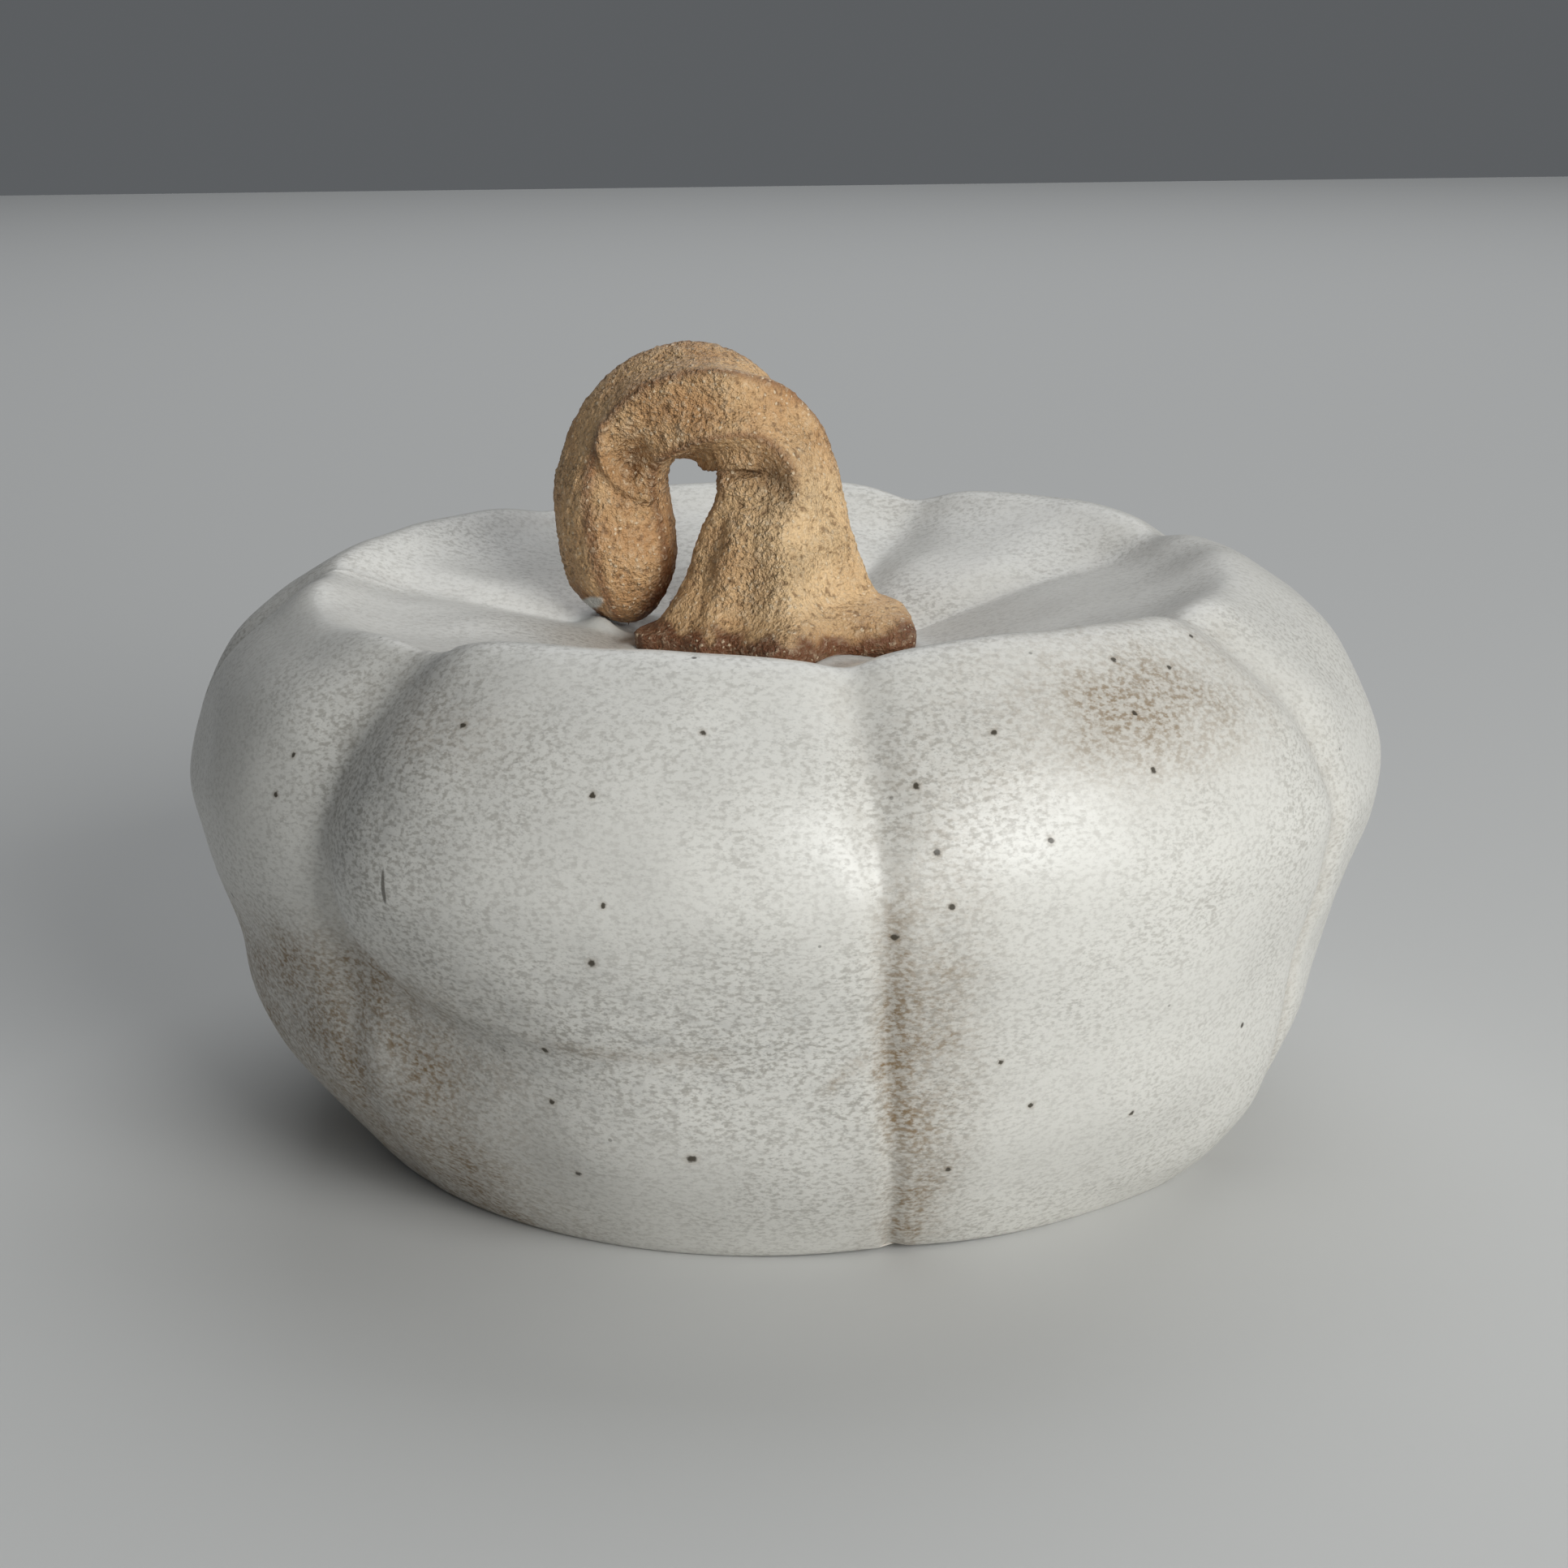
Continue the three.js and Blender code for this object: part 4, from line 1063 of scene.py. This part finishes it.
def photo_camera():
    """The camera of the photograph."""
    lift = math.radians(CAMERA_ELEVATION)
    roll = math.radians(CAMERA_ROLL)
    back = Vector((0, -math.cos(lift), math.sin(lift)))
    right = Vector((1, 0, 0))
    up = back.cross(right)
    across = right * math.cos(roll) + up * math.sin(roll)
    upright = up * math.cos(roll) - right * math.sin(roll)
    lens = bpy.data.cameras.new("photo")
    lens.sensor_width = SENSOR_MM
    lens.lens = CAMERA_FOCAL_PX / PHOTO_SIDE_PX * SENSOR_MM
    lens.clip_start = 0.01
    camera = bpy.data.objects.new("photo", lens)
    bpy.context.scene.collection.objects.link(camera)
    spin = Matrix((across, upright, back)).transposed().to_4x4()
    camera.matrix_world = Matrix.Translation((Vector(CAMERA_TARGET) + back * CAMERA_DISTANCE) * MM) @ spin
    bpy.context.scene.camera = camera


def area_light(name, azimuth, elevation, distance, side, watts, colour):
    """A square soft light, turned to face the middle of the body."""
    lamp = bpy.data.lights.new(name, "AREA")
    lamp.size = side * MM
    lamp.energy = watts
    lamp.color = colour
    piece = bpy.data.objects.new(name, lamp)
    bpy.context.scene.collection.objects.link(piece)
    turn = math.radians(azimuth)
    lift = math.radians(elevation)
    way = Vector((math.cos(lift) * math.sin(turn), -math.cos(lift) * math.cos(turn), math.sin(lift)))
    spin = way.to_track_quat("Z", "Y").to_matrix().to_4x4()
    piece.matrix_world = Matrix.Translation((way * distance + Vector(LIT_POINT)) * MM) @ spin


def soft_world(colour, strength):
    """One even light from all round."""
    world = bpy.data.worlds.new("soft")
    world.use_nodes = True
    background = world.node_tree.nodes["Background"]
    background.inputs["Color"].default_value = (*colour, 1)
    background.inputs["Strength"].default_value = strength
    bpy.context.scene.world = world


def floor():
    """A plain pale floor."""
    mesh = bpy.data.meshes.new("floor")
    half = FLOOR_HALF_SIDE
    corners = [(-half, -half, 0), (half, -half, 0), (half, half, 0), (-half, half, 0)]
    mesh.from_pydata(corners, [], [(0, 1, 2, 3)])
    mesh.materials.append(plain_material("pale_floor", FLOOR_GREY, 0.9))
    piece = bpy.data.objects.new("floor", mesh)
    bpy.context.scene.collection.objects.link(piece)


body, place_of = glazed_body()
vent_hole(body)
# Cutting the vent leaves the body an empty material slot.
body.data.materials.clear()
stem = clay_stem()
mottle = mottle_group()
spots = speck_group()
body.data.materials.append(glaze_material(mottle, spots, one_spot_group(), place_of))
stem.data.materials.append(clay_material(mottle, spots))
for piece, node, slot in ((body, "body", "glaze"), (stem, "stem", "bare_clay")):
    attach(piece, "root")
    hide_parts(node)

floor()
soft_world(WORLD_COLOUR, WORLD_STRENGTH)
for light in LIGHTS:
    area_light(*light)
photo_camera()
bpy.context.scene.view_settings.view_transform = "Standard"
